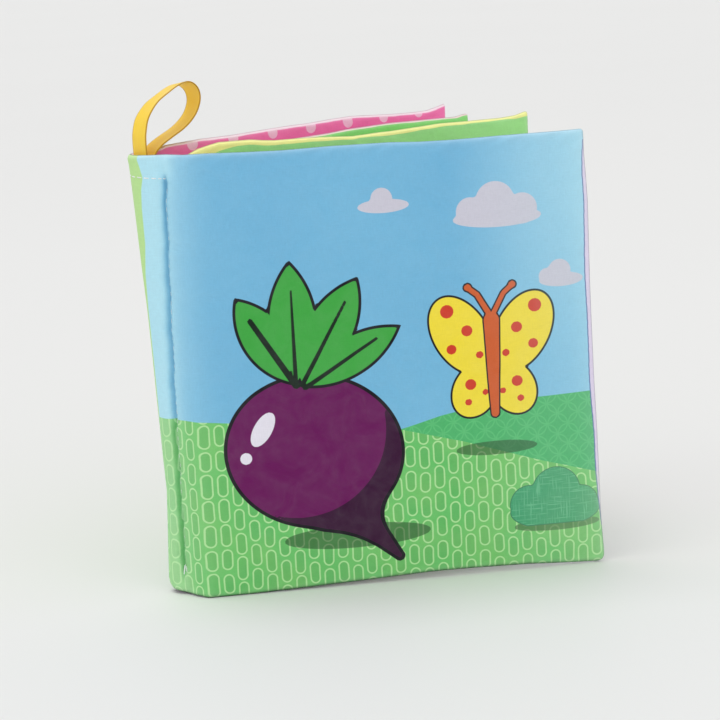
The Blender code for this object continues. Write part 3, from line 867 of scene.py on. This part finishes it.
# Front cover: a hill, a field, a round root, a butterfly, a bush and clouds under a bare sky.
rootShape = softMerged(oval((39, 48), (29.5, 25.5), -12),
                       stroke([(49, 28), (61, 15), (66, 9)], [7.0, 2.2, 0.7]), 9.0)
frontShapes = {
    "hill": below([(-12, 40), (40, 44), (62, 51.5), (82, 56.6), (96, 58.9), (110, 60.2), (134, 60.8)]),
    "field": below([(-12, 61.6), (0, 61.2), (35, 57.6), (63, 54.6), (90, 47.0), (115, 38.5), (140, 31.0)]),
    "root": rootShape,
    "tops": merged(leafShape((34, 72), (16, 101), 14), leafShape((34, 72), (34, 112), 15),
                   leafShape((36, 72), (56, 105), 15), leafShape((37, 71), (69, 88), 12)),
    "ribs": merged(stroke([(34, 71), (20, 94)], [1.1, 0.9]), stroke([(34, 71), (34, 103)], [0.8, 0.5]),
                   stroke([(36, 71), (52, 98)], [0.8, 0.5]), stroke([(37, 70), (62, 85)], [0.8, 0.5])),
    "shine": merged(oval((22, 57), (3.1, 6.4), -32), circle((15.8, 47.5), 2.0)),
    "shadeSide": within(rootShape, outside(circle((34, 55), 29.5))),
    "wings": merged(oval((90.5, 83.5), (9.0, 14.5), 30), oval((111.5, 83.5), (9.0, 14.5), -30),
                    oval((94.5, 64.5), (7.4, 9.6), -28), oval((107.5, 64.5), (7.4, 9.6), 28)),
    "spots": circles((86, 92, 2.3), (92.5, 85, 1.9), (87, 79, 1.7), (96.5, 76.5, 1.3), (116, 92, 2.3),
                     (109.5, 85, 1.9), (115, 79, 1.7), (105.5, 76.5, 1.3), (93, 66.5, 1.9), (92, 60.5, 1.2),
                     (109, 66.5, 1.9), (110, 60.5, 1.2), (98, 63.5, 1.1), (104, 63.5, 1.1)),
    "body": merged(stroke([(101, 56), (101, 74), (101, 88)], [1.3, 2.1, 2.6]),
                   stroke([(101, 89), (96.5, 97), (94, 99)], [0.9, 0.85, 0.85]),
                   stroke([(101, 89), (105.5, 97), (108, 99)], [0.8, 0.75, 0.75]),
                   circles((93.4, 99.6, 1.2), (108.6, 99.6, 1.2))),
    "bush": merged(circles((121, 27, 8.2), (111.5, 23, 6.5), (129.5, 22, 6.0)),
                   within(oval((120.5, 20.5), (15.5, 6.5)), above(15.5))),
    "clouds": merged(circles((104, 128, 6.6), (95.5, 125, 4.8), (113, 125, 5.2), (66, 131.5, 3.6),
                             (125, 103, 3.9), (120.5, 101.5, 2.7)), oval((104.5, 122.5), (15, 3.2)),
                     oval((66.5, 129), (8.6, 2.3)), oval((125.5, 100), (7.6, 2.4))),
    "shadow": merged(oval((52, 17.5), (25, 4.2)), oval((101, 44), (14, 2.4)), oval((121, 15.2), (15, 2.2))),
}
carrotShapes = {
    "big": stroke([(58, 92), (74, 60), (88, 30), (93, 19)], [13.5, 10.5, 4.5, 0.8]),
    "lines": merged(*[stroke([(a, b), (a + 6, b + 2.4)], [0.4, 0.4]) for a, b in
                      ((50, 84), (66, 80), (57, 70), (73, 66), (66, 56), (80, 48), (74, 40))]),
    "tops": merged(leafShape((54, 101), (33, 126), 9), leafShape((54, 101), (50, 134), 10),
                   leafShape((55, 101), (69, 129), 9)),
}
tomatoShapes = {
    "big": merged(oval((56, 66), (30, 28)), oval((78, 66), (30, 28))),
    "lines": oval((44, 80), (3.4, 8.2), -35),
    "tops": merged(*[leafShape((67, 91), (67 + 24 * math.cos(turn), 93 + 15 * math.sin(turn)), 7.5)
                     for turn in (0.15, 0.95, 2.2, 3.0, 3.9, 5.5)]),
}
peaShapes = {
    "big": leafShape((22, 46), (114, 100), 40),
    "lines": circles(*[(45 + 13.2 * step, 60.2 + 7.6 * step, radius)
                       for step, radius in enumerate((6.2, 7.4, 7.9, 7.0))]),
    "tops": merged(leafShape((109, 99), (128, 121), 9), leafShape((110, 98), (132, 101), 8)),
}
pumpkinShape = merged(oval((46, 58), (20, 29)), oval((90, 58), (20, 29)), oval((68, 58), (24, 32)))
pumpkinShapes = {
    "big": pumpkinShape,
    "lines": within(merged(*[outlined(oval((68, 58), (half, 31)), 0.45) for half in (12, 27)]),
                    grown(pumpkinShape, -1.0)),
    "tops": merged(stroke([(68, 88), (70, 98), (76, 104)], [4.0, 3.0, 3.4]),
                   leafShape((73, 92), (102, 107), 13)),
}
radishShapes = {
    "big": softMerged(circle((68, 66), 25), stroke([(70, 44), (74, 26), (80, 14)], [6.0, 2.0, 0.5]), 10),
    "lines": oval((56, 75), (3.0, 7.4), -35),
    "tops": merged(leafShape((67, 90), (45, 129), 15), leafShape((68, 90), (70, 138), 16),
                   leafShape((69, 90), (95, 126), 15)),
}
capShape = within(oval((70, 62), (34, 36)), above(62))
mushroomShapes = {
    "big": merged(capShape, stroke([(70, 62), (70, 30)], [11, 13])),
    "lines": circles((56, 76, 5.0), (76, 84, 5.6), (90, 70, 4.2)),
    "tops": within(outlined(above(61), 0.5), grown(capShape, 0.4)),
}
# A round head between two outer leaves, on the front's field run on round the spine.
cabbageShapes = {
    "head": circle((68, 68), 25),
    "field": below([(-14, 61.6), (0, 61.6), (35, 64.0), (80, 57.0), (137, 44.0)]),
    "wraps": merged(leafShape((66, 38), (36, 84), 26), leafShape((70, 38), (100, 84), 26)),
    "veins": merged(stroke([(68, 48), (68, 84)], [1.2, 0.9]),
                    *[stroke(legs, [1.2, 1.0]) for legs in ([(68, 58), (58, 72)], [(68, 58), (78, 72)],
                                                            [(62, 44), (42, 74)], [(74, 44), (94, 74)])]),
    "clouds": merged(circles((104, 126, 6.4), (95, 123, 4.6)), oval((102, 120.5), (14.5, 3.2)),
                     circles((30, 112, 4.6), (37, 111, 3.4)), oval((32, 108.5), (10.5, 2.6))),
    "shadow": oval((68, 39), (30, 4.4)),
}
# Where the far cloth rolls over a leaf's top edge: run against the width of the band that shows.
leafTwoRoll = [(5, 3.2), (12, 3.4), (17, 3.0), (24, 1.7), (44, 1.6), (60, 1.2), (70, 1.0), (82, 1.4),
               (100, 1.2), (112, 0.9), (128, 0.8), (134, 1.5), (137, 1.8)]
# What shows of the back cover's green left of the spine, and of the lining at the fore edge: height
# against width.
frontEdges = {
    "green": [(40, -0.6), (60, 0.4), (75, 0.5), (98, 0.6), (110, 1.3), (121, 2.6), (133, 3.0), (139, 3.6),
              (143, 4.6), (150, 3.4)],
    "lining": [(12, 0.0), (22, 0.5), (34, 1.1), (60, 1.5), (120, 1.6), (136, 1.1), (147, 0.0)],
    "seenFromDeg": 7.3, "sway": (0.12, 5.9), "scallop": (0.03, 2.7), "hemWidth": 0.75,
    "hemFade": (105.0, 140.0),
}
# Light on the front cover. At the seam: how much it darkens in the valley and how wide, the glow beyond
# it near and far, and its lip. Then the pale fore side, its rise with the height, and the fore edge.
frontLight = {
    "sewn": ((3.0, 9.0), (140.5, 145.0)), "valley": (0.75, 1.3), "far": (0.42, 10.0), "near": (0.58, 3.0),
    "nearLoss": 0.25, "lip": (0.35, 0.75, 0.55), "lipBeat": 0.2, "fore": (0.6, 84.0, 132.0),
    "foreLow": 0.55, "foreRise": (60.0, 140.0), "rim": (0.22, 6.0),
    "crease": {"depth": 0.75, "place": -0.15, "before": 1.2, "after": 0.3},
}


def edgeShapes(grid, spec):
    # The back's green as seen from the photo's side, up to a line beside the leftmost point of each
    # row, and the lining's strip along the fore edge.
    u, v = grid["run"], grid["height"]
    seenFrom = math.radians(spec["seenFromDeg"])
    across = grid["outer"][..., 0] * math.cos(seenFrom) - grid["outer"][..., 1] * math.sin(seenFrom)
    behind = np.arange(across.shape[1])[None] <= np.argmin(across, axis=1)[:, None]
    back = np.where(behind, -0.6, across - across.min(axis=1)[:, None] - follow(v, spec["green"]))
    lining = follow(v, spec["lining"])
    (deep, beat), (wide, sway) = spec["scallop"], spec["sway"]
    scallop = deep * np.sin(fullTurn * v / beat) + wide * np.sin(v / sway)
    # The hem turned under at the foot is in the book's own shade.
    hem = bell(grid["low"], spec["hemWidth"]) * (1.0 - 0.5 * smoothRise(u, *spec["hemFade"]))
    return {"back": back, "lining": np.where(lining > 0.05, grid["fore"] - lining + scallop, 9.0), "hem": hem}


def seamLight(grid, spec):
    # Light catches the fold up to the binding seam and the panel just beyond it, and pales the fore
    # side. The crease is the shade in the seam's valley.
    u, v = grid["run"], grid["height"]
    beside = grid["fold"] - grid["seamAt"]
    sewn = between(v, *spec["sewn"])
    (valley, valleyWidth), (far, farWidth), (near, nearWidth) = spec["valley"], spec["far"], spec["near"]
    beyond = far * bell(beside, farWidth) + (near - spec["nearLoss"] * sewn) * bell(beside, nearWidth)
    glow = np.where(beside < 0.0, 1.0 - valley * sewn * bell(beside, valleyWidth), beyond)
    lip, place, width = spec["lip"]
    glow = glow + sewn * (lip + spec["lipBeat"] * puckerBeat(v)) * bell(beside - place, width)
    (side, *across), (rim, rimWidth), low = spec["fore"], spec["rim"], spec["foreLow"]
    pale = side * smoothRise(u, *across) * (low + (1.0 - low) * smoothRise(v, *spec["foreRise"]))
    pale = pale + rim * bell(grid["fore"], rimWidth)
    crease = spec["crease"]
    fromCrease = beside - crease["place"]
    width = np.where(fromCrease < 0.0, crease["before"], crease["after"])
    crease = crease["depth"] * sewn * bell(fromCrease, width)
    return {"glow": np.clip(glow * smoothRise(grid["fold"], 0.0, 2.0) + pale, 0.0, 1.0), "crease": crease}


def turnedEdge(grid, table):
    # The far cloth rolls over the top edge and shows there as a band of its own colour. On page 7 the pale
    # band is a painted highlight on the top rim instead.
    u = grid["run"]
    return grid["high"] - follow(u, table) - 0.05 * np.sin(u / 1.7) - 0.05 * np.sin(u / 4.1)


dark, white = (14, 10, 22), (236, 232, 244)
leafGreen, leafLine = (66, 172, 70), (12, 34, 20)
meadow = {"shape": "field", "fill": (122, 204, 112), "second": (182, 234, 162), "pattern": "ovals"}
shade = {"shape": "shadow", "fill": (46, 88, 48), "strength": 0.72}


def layer(shape, fill, outline=None, line=0.55, **more):
    # A printed shape's colour, with an outline of some width, a pattern or a second colour.
    return {"shape": shape, "fill": fill, **({"outline": outline, "line": line} if outline else {}), **more}


def pageLayers(big, lines, tops=leafGreen, linesOutline=None, turned=None):
    layers = [layer("big", big, dark), layer("tops", tops, leafLine),
              layer("lines", lines, linesOutline, 0.3)]
    return layers + ([layer("turned", turned)] if turned else [])


# One row for each cloth: its page, the fold parts that it stands for too, its sheet and leaf, which
# side of the sheet it is, and its print.
cloths = [
    {"name": "frontCoverCloth", "page": "front_cover", "folds": ("spine_cloth",), "sheet": coverSheet,
     "leaf": 0, "outward": True, "pitch": 1.1, "rowPitch": 0.66, "seed": 11, "shapes": frontShapes,
     "ground": ("plain", (114, 184, 224), (126, 194, 230)), "glow": (178, 230, 250),
     "seamColour": (70, 120, 150), "crinkle": 12.0, "layers": [
         layer("back", (186, 228, 116)),
         layer("clouds", (210, 208, 222)),
         layer("hill", (80, 186, 112), second=(94, 197, 122), pattern="rings"),
         meadow,
         shade,
         layer("bush", (48, 160, 112), (34, 118, 86), 0.3, second=(120, 205, 160), pattern="hatch"),
         layer("root", (106, 12, 90), dark, 1.2),
         layer("shadeSide", (56, 8, 52)),
         layer("shine", white),
         layer("tops", leafGreen, dark, 1.0),
         layer("ribs", leafLine),
         layer("wings", (250, 228, 62), dark, 0.7),
         layer("spots", (214, 62, 40)),
         layer("body", (214, 96, 38), dark, 0.5),
         layer("lining", (226, 206, 240), (72, 92, 166), 0.35, second=(236, 220, 244))]},
    {"name": "pageTwoCloth", "page": "page_2", "folds": ("spine_lining",), "sheet": coverSheet, "leaf": 0,
     "outward": False, "seed": 12, "shapes": carrotShapes, "seamColour": (120, 96, 160),
     "ground": ("dots", (205, 184, 232), (228, 216, 243)),
     "layers": pageLayers((244, 140, 52), (196, 92, 24))},
    {"name": "pageThreeCloth", "page": "page_3", "folds": ("inner_sheet_outer_fold",), "sheet": innerSheet,
     "leaf": 1, "outward": True, "seed": 13, "shapes": tomatoShapes, "seamColour": (90, 150, 80),
     "ground": ("plain", (158, 236, 136), (176, 244, 154)), "turned": leafTwoRoll,
     "layers": pageLayers((226, 60, 48), (255, 214, 206), turned=(255, 255, 150))},
    {"name": "pageFourCloth", "page": "page_4", "folds": ("inner_sheet_inner_fold",), "sheet": innerSheet,
     "leaf": 1, "outward": False, "seed": 14, "shapes": peaShapes, "seamColour": (190, 205, 110),
     "ground": ("ovals", (238, 253, 158), (250, 255, 200)),
     "layers": pageLayers((96, 178, 62), (170, 222, 96), linesOutline=leafLine)},
    {"name": "pageFiveCloth", "page": "page_5", "sheet": innerSheet, "leaf": 2, "outward": False,
     "seed": 15, "shapes": pumpkinShapes, "seamColour": (80, 140, 70),
     "ground": ("plain", (134, 224, 118), (152, 232, 134)), "turned": [(0, 0.5), (137, 0.5)],
     "layers": pageLayers((246, 148, 44), (196, 96, 26), turned=(248, 214, 214))},
    {"name": "pageSixCloth", "page": "page_6", "sheet": innerSheet, "leaf": 2, "outward": True,
     "seed": 16, "shapes": radishShapes, "seamColour": (200, 130, 145),
     "ground": ("dots", (248, 200, 210), (253, 226, 232)),
     "layers": pageLayers((226, 52, 96), (255, 220, 230))},
    # Page 7's pale top band and its stronger paling at the edges are a painted highlight on its rims.
    {"name": "pageSevenCloth", "page": "page_7", "sheet": coverSheet, "leaf": 3, "outward": False,
     "seed": 17, "shapes": mushroomShapes, "seamColour": (190, 60, 110), "rub": (0.5, 0.5),
     "ground": ("dots", (255, 126, 188), (255, 206, 230),
                {"Across": 18.1, "Up": 13.2, "Half Width": 2.3, "Half Height": 2.5, "Stagger": 0.0,
                 "Uneven": 0.0}, (-6.1, 0.0, 0.0)), "turned": [(0, 0.8), (139, 0.8)],
     "layers": pageLayers((244, 226, 196), (206, 120, 84), (150, 110, 80), turned=(255, 222, 236))},
    {"name": "backCoverCloth", "page": "back_cover", "sheet": coverSheet, "leaf": 3, "outward": True,
     "pitch": 1.2, "seed": 18, "shapes": cabbageShapes, "seamColour": (120, 170, 70),
     "ground": ("plain", (184, 226, 114), (192, 232, 124)), "layers": [
         layer("clouds", (234, 248, 200)),
         meadow,
         shade,
         layer("head", (150, 214, 110), leafLine, 0.85),
         layer("wraps", (84, 176, 80), leafLine, 0.85),
         layer("veins", (206, 238, 168))]},
]


def makeCloth(spec):
    # Both faces from the half thickness h: the outer at h, the inner at h less the cloth's thickness
    # t (1 - exp(-h / t)), which closes at the seams. The fold's middle ends square, where the other
    # half of the sheet begins.
    sheet, leaf, pitch = spec["sheet"], spec["leaf"], spec.get("pitch", 1.4)
    grid = clothGrid(sheet, leaf, pitch, spec.get("rowPitch", pitch))
    half = leafHalf(sheet, grid, spec["outward"], spec["seed"])
    thickness = clothShape["thickness"]
    inner = np.maximum(half - thickness * (1.0 - np.exp(-half / thickness)), 0.0)
    side = 1.0 if spec["outward"] else -1.0
    grid["outer"] = clothPoints(grid, side * half)
    values = {"seamDistance": grid["near"]}
    values.update({name: shape(grid["run"], grid["height"]) for name, shape in spec["shapes"].items()})
    if "turned" in spec:
        values["turned"] = turnedEdge(grid, spec["turned"])
    if "glow" in spec:
        values.update({**edgeShapes(grid, frontEdges), **seamLight(grid, frontLight)})
    page = np.stack([grid["run"], grid["height"], np.zeros(half.shape)], -1)
    piece = makeShell(spec["name"], grid["outer"], clothPoints(grid, side * inner), values, {"page": page},
                      printedCloth(spec), squareStart=True)
    allowance = clothShape["seamAllowance"]
    flat = (float(grid["fold"].max() + allowance) * mm, (leafHeight + allowance) * mm)
    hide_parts(spec["page"] + "_cloth", *spec.get("folds", ()))
    spec["page"] + "_print"
    clothBlend(piece, leaf)
    return grid


clothGrids = {cloth["name"]: makeCloth(cloth) for cloth in cloths}
print("eight cloths made")


def waddingFinish():
    # White polyester fibre: tangled noise in bump and colour.
    material, tree, shader = startMaterial("fibreWadding")
    fibre = noise(made(tree, "TexCoord", output="Object"), 900.0, 4.0, more={"Distortion": 2.5})
    give(shader, {"Base Color": mixed(fibre, colourOf(206, 206, 202), colourOf(248, 248, 246)),
                  "Roughness": fibre * 0.15 + 0.8, "Normal": bumped(fibre, 0.8, 0.0004), "Sheen Weight": 0.3})
    return material


def filmFinish():
    # Milky plastic film: low roughness with fine crackle lines.
    material, tree, shader = startMaterial("crinkleFilm")
    place = made(tree, "TexCoord", output="Object")
    crack = made(tree, "TexVoronoi", {"Vector": place, "Scale": 160.0}, "Distance",
                 feature="DISTANCE_TO_EDGE")
    line = ranged(crack, 0.0, 0.08)
    give(shader, {"Base Color": mixed(line, colourOf(236, 238, 242), colourOf(212, 216, 222)),
                  "Roughness": line * -0.12 + 0.34, "Normal": bumped(line, 0.6, 0.0003)})
    return material


def satinFinish(width):
    # Satin ribbon: fine cross ribs, long shine, and a tighter, darker woven edge.
    material, tree, shader = startMaterial("satinRibbon")
    page = attribute(tree, "page", "Vector")
    along, across = parts(page)[:2]
    ribs, threads = maths("SINE", along * (fullTurn / 0.34)), maths("SINE", across * (fullTurn / 0.22))
    streak = noise(vectors("MULTIPLY", page, (0.12, 1.6, 1.0)), 1.0, 3.0)
    rim = ranged(maths("MINIMUM", across, width - across), 0.3, 0.65)
    colour = mixed(rim, colourOf(196, 148, 22), mixed(streak, colourOf(255, 206, 34), colourOf(255, 224, 72)))
    give(shader, {"Base Color": colour, "Roughness": streak * 0.16 + 0.30, "Sheen Weight": 0.08,
                  "Sheen Roughness": 0.3, "Specular IOR Level": 0.32, "Anisotropic": 0.4,
                  "Normal": bumped(ribs * 0.6 + threads * 0.3, 0.45, 0.00005)})
    return material


# Every leaf holds a wadding and a film. Offsets run from the leaf's mid plane towards its back.
filling = {"inset": 15.0, "seed": 31, "waddingLow": -0.95, "waddingHigh": 0.25, "waddingPitch": 2.5,
           "waddingRim": 4.0, "filmAt": 0.62, "filmThickness": 0.12, "filmCrinkle": 0.16, "filmPitch": 1.6}


def fillingGrid(leaf, inset, pitch):
    # A sheet in a leaf's mid plane: hinge + run x leaf direction, height z, inset all round.
    runs = np.linspace(inset, leafReach - inset, int((leafReach - 2.0 * inset) / pitch))
    heights = np.linspace(inset, leafHeight - inset, int((leafHeight - 2.0 * inset) / pitch))
    run, height = np.meshgrid(runs, heights)
    plan = hinges[leaf] + run[..., None] * leafRuns[leaf]
    back = np.array([-leafRuns[leaf][1], leafRuns[leaf][0]])
    edge = np.minimum(np.minimum(run - inset, leafReach - inset - run),
                      np.minimum(height - inset, leafHeight - inset - height))

    def pointsAt(offset):
        return np.concatenate([plan + offset[..., None] * back, height[..., None]], axis=2)

    return run, height, edge, pointsAt


def camelName(name):
    # A body's name without underscores, each later word with a capital.
    words = name.split("_")
    return words[0] + "".join(word.capitalize() for word in words[1:])


def makeWadding(leaf, spec, material):
    # Between its low and high offsets, lumpy by a tenth and thinned to nothing at its rim.
    name = leafNames[leaf]
    run, height, edge, pointsAt = fillingGrid(leaf, spec["inset"], spec["waddingPitch"])
    lumps = 1.0 + 0.10 * waves(run, height, spec["seed"] + leaf, 14.0, 40.0, 8)
    middle = (spec["waddingLow"] + spec["waddingHigh"]) / 2.0
    span = (spec["waddingHigh"] - spec["waddingLow"]) / 2.0 * edgeRoll(edge, spec["waddingRim"]) * lumps
    piece = makeShell(camelName(name) + "Wadding", pointsAt(middle - span), pointsAt(middle + span), {}, {},
                      material)
    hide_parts(name + "_wadding")
    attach(piece, name)
    return piece


def makeFilm(leaf, spec, wadding, material):
    # A thin sheet, folded in sharp facets, 1 - 2 |sine| of waves.
    name, inset = leafNames[leaf], spec["inset"]
    run, height, edge, pointsAt = fillingGrid(leaf, inset, spec["filmPitch"])
    facets = 1.0 - 2.0 * np.abs(np.sin(1.7 * waves(run, height, spec["seed"] + leaf + 5, 5.0, 16.0, 7)))
    offset = spec["filmAt"] + spec["filmCrinkle"] * facets
    wall = spec["filmThickness"] / 2.0 * edgeRoll(edge, 1.0)
    piece = makeShell(camelName(name) + "Film", pointsAt(offset - wall), pointsAt(offset + wall), {}, {},
                      material)
    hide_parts(name + "_film")
    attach(piece, name)


fibre, foil = waddingFinish(), filmFinish()
for leaf in range(len(leafNames)):
    makeFilm(leaf, filling, makeWadding(leaf, filling, fibre), foil)
print("waddings and crinkle films made")

# The spine's wadding lies between the outer cloth and the lining, round the fold's middle. Its reach
# is counted in knots of the fold.
spineFilling = {"low": 12.0, "high": 138.0, "half": 0.22, "frontReach": 2.9, "backReach": 2.2, "rows": 64,
                "columns": 12, "rim": 4.0, "outward": 0.06}


def makeSpineWadding(spec):
    # Half thickness sqrt(1 - s^2) across the fold, thinned to nothing at its foot and top.
    rows = np.linspace(spec["low"], spec["high"], spec["rows"])
    shares = np.linspace(0.0, 1.0, spec["columns"])
    plan = np.concatenate([foldPlan(coverSheet, rows, True, shares[:0:-1] * spec["frontReach"]),
                           foldPlan(coverSheet, rows, False, shares * spec["backReach"])], axis=1)
    slope = np.gradient(plan, axis=1)
    slope /= np.linalg.norm(slope, axis=2)[..., None]
    normal = np.stack([slope[..., 1], -slope[..., 0]], -1)
    across = np.linspace(-1.0, 1.0, plan.shape[1])
    plump = np.sqrt(np.clip(1.0 - across**2, 0.0, 1.0))[None] * edgeRoll(
        np.minimum(rows - spec["low"], spec["high"] - rows), spec["rim"])[:, None]
    height = np.broadcast_to(rows[:, None], plump.shape)
    faces = [np.concatenate([plan + normal * (spec["outward"] + sign * spec["half"] * plump)[..., None],
                             height[..., None]], axis=2) for sign in (-1.0, 1.0)]
    piece = makeShell("spineWadding", *faces, {}, {}, fibre)
    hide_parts("spine_wadding")
    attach(piece, "spine")


makeSpineWadding(spineFilling)

# The ribbon: near edge as (along the loop's plane, height), from the left tail over to the right.
ribbon = {
    "edge": [(0.25, 139.5), (0.2, 143.0), (0.1, 147.0), (0.0, 150.5), (-0.05, 154.2), (0.25, 157.6),
             (1.7, 162.4), (5.3, 166.9), (10.0, 169.9), (14.6, 172.2), (18.0, 172.7), (20.5, 171.3),
             (21.75, 168.9), (21.7, 166.0), (20.2, 162.5), (17.6, 159.6), (14.4, 157.3), (9.9, 155.0),
             (6.5, 153.1), (4.1, 151.2), (2.5, 148.8), (1.6, 145.8), (1.3, 142.6), (1.2, 139.5)],
    "nearBase": (-3.39, 1.45), "planeDeg": 28.0, "widthDeg": 118.5, "width": 8.8, "hem": 0.6, "farDrop": 1.3,
    "thickness": 0.42, "rows": 220, "columns": 15, "blendHeightsM": (0.1492, 0.1545),
    "tilt": (152.0, 172.0), "bow": 0.25, "edgeRadius": 0.35, "endRadius": 0.5,
}


def makeRibbon(spec):
    # Near edge point + share x width direction, sagging by farDrop sin^2 at the top; then both faces
    # half a thickness along the normal, drawn together at the two woven edges.
    knots = np.array(spec["edge"])
    gaps = np.linalg.norm(np.diff(knots, axis=0), axis=1)
    total = gaps.sum()
    places = np.interp(np.linspace(0.0, total, spec["rows"]), np.concatenate([[0.0], np.cumsum(gaps)]),
                       np.arange(len(knots)))
    curve = splineWeights(len(knots), places) @ knots
    plane, width = math.radians(spec["planeDeg"]), math.radians(spec["widthDeg"])
    share = 0.5 - 0.5 * np.cos(np.linspace(0.0, math.pi, spec["columns"]))
    lift = smoothRise(curve[:, 1], *spec["tilt"])
    along = curve[:, :1] + spec["bow"] * np.sin(math.pi * share)[None] * lift[:, None]
    x = spec["nearBase"][0] + along * math.cos(plane) + share * spec["width"] * math.cos(width)
    y = spec["nearBase"][1] + along * math.sin(plane) + share * spec["width"] * math.sin(width)
    z = curve[:, 1:] - spec["farDrop"] * share[None] * lift[:, None]
    middle = np.stack([x, y, z], -1)
    normal = np.cross(np.gradient(middle, axis=0), np.gradient(middle, axis=1))
    normal /= np.linalg.norm(normal, axis=2)[..., None]
    run = np.linspace(0.0, total, spec["rows"])[:, None]
    toEdge = np.minimum(share, 1.0 - share) * spec["width"]
    wall = spec["thickness"] / 2.0 * edgeRoll(toEdge, spec["edgeRadius"])[None]
    wall = (wall * edgeRoll(np.minimum(run, total - run), spec["endRadius"]))[..., None]
    across = np.broadcast_to(share * spec["width"], wall.shape[:2])
    page = np.stack([np.broadcast_to(run, across.shape), across, np.zeros(across.shape)], -1)
    piece = makeShell("ribbonLoop", middle + normal * wall, middle - normal * wall, {}, {"page": page},
                      satinFinish(spec["width"]))
    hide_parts("hanging_loop", "ribbon_tails")
    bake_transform(piece)


makeRibbon(ribbon)
print("ribbon made")

thread = {"radius": 0.17, "sides": 8, "rings": 9, "lift": 0.14, "sink": 0.35}
topRow = {"count": 7, "start": 1.2, "past": 0.3, "height": 143.7, "fall": 0.11, "gapBefore": 0.12,
          "gapAfter": 0.16, "seamHeight": 142.0, "seamColumn": 40, "size": 1.15, "outward": (-0.6, -0.8, 0.0)}
bindingRow = {"start": 13.0, "end": 140.0, "pitch": 3.1, "length": 2.3, "seamColumn": 60, "size": 0.55,
              "shift": (0.08, 0.08, 0.0), "outward": (-0.7, -0.7, 0.0)}
# The loose end of the thread at the binding seam's foot: two short lengths from there.
looseEnd = {"seamRow": 20, "past": 0.3, "height": 6.5,
            "lengths": [((0.1, 0.2, 4.2), (-0.6, -0.45, 0.6), (-0.6, -0.8, 0.0), 1.3),
                        ((0.3, 0.1, 3.6), (0.5, -0.45, 1.4), (-0.2, -0.9, 0.0), 1.1)]}
coverGrid = clothGrids["frontCoverCloth"]


def surfacePlace(fold, height):
    # A point of the front cover's outer face at a distance from the fold's middle and a height.
    columns = coverGrid["fold"][0]
    column = int(np.clip(np.searchsorted(columns, fold) - 1, 0, len(columns) - 2))
    share = (fold - columns[column]) / (columns[column + 1] - columns[column])
    line = coverGrid["outer"][:, column] * (1.0 - share) + coverGrid["outer"][:, column + 1] * share
    return np.array([np.interp(height, line[:, 2], line[:, axis]) for axis in range(3)])


def seamFold(height, column):
    # Where the binding seam runs at a height: its distance from the fold's middle.
    return float(np.interp(height, coverGrid["height"][:, column], coverGrid["seamAt"][:, column]))


def threadFinish():
    # Twisted white sewing thread: slanting plies in bump and shade.
    material, tree, shader = startMaterial("sewingThread")
    place = made(tree, "TexCoord", output="Object")
    ply = made(tree, "TexWave", {"Vector": place, "Scale": 900.0, "Distortion": 1.5}, "Fac",
               bands_direction="DIAGONAL")
    give(shader, {"Base Color": mixed(ply, colourOf(222, 226, 226), colourOf(250, 252, 250)),
                  "Roughness": ply * 0.1 + 0.5, "Normal": bumped(ply, 0.5, 0.00005)})
    return material


def makeStitches(name, spots, material):
    # Each stitch is a short tube: its ends dip into the cloth and its middle stands proud, lift sin(pi t).
    # The radius is r (1 - |2t - 1|^6)^(1/2), so that both ends close.
    rings, sides = thread["rings"], thread["sides"]
    share = np.linspace(0.0, 1.0, rings)
    radii = thread["radius"] * np.sqrt(np.clip(1.0 - np.abs(2.0 * share - 1.0) ** 6, 0.0, 1.0)) + 1e-4
    rise = (thread["lift"] * (np.sin(math.pi * share) - thread["sink"]))[:, None]
    odd = np.arange(1, sides - 1, 2)
    cap = np.stack([odd * 0, odd, odd + 1, odd + 2], -1)
    points, faces = [], []
    for count, (start, end, outward, size) in enumerate(spots):
        path = start + (end - start) * share[:, None] + np.array(outward) * rise
        grid, quads = tubeGrid(path, radii * size, sides)
        points.append(grid)
        faces.append(np.concatenate([quads, cap[:, ::-1], (rings - 1) * sides + cap]) + count * len(grid))
    piece = makeObject(name, np.concatenate(points), np.concatenate(faces), {}, {}, material)
    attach(piece, "spine")


def topSpots(spec):
    # The top row closes the fold: from its middle to the binding seam, falling a little.
    last = seamFold(spec["seamHeight"], spec["seamColumn"]) + spec["past"]
    ends = np.linspace(spec["start"], last, spec["count"] + 1)
    for first, second in zip(ends[:-1], ends[1:]):
        span = second - first
        yield (surfacePlace(first + spec["gapBefore"] * span, spec["height"] - spec["fall"] * first),
               surfacePlace(second - spec["gapAfter"] * span, spec["height"] - spec["fall"] * second),
               spec["outward"], spec["size"])


def bindingSpots(spec, loose):
    # The binding seam's stitches sit at the bottom of the valley. The loose end comes last.
    for height in np.arange(spec["start"], spec["end"], spec["pitch"]):
        start, end = (surfacePlace(seamFold(z, spec["seamColumn"]), z) + spec["shift"]
                      for z in (height, height + spec["length"]))
        yield start, end, spec["outward"], spec["size"]
    foot = surfacePlace(float(coverGrid["seamAt"][loose["seamRow"], 0]) + loose["past"], loose["height"])
    for start, end, outward, size in loose["lengths"]:
        yield foot + start, foot + end, outward, size


stitchFinish = threadFinish()
makeStitches("topStitches", topSpots(topRow), stitchFinish)
makeStitches("bindingStitches", bindingSpots(bindingRow, looseEnd), stitchFinish)
print("threads made")
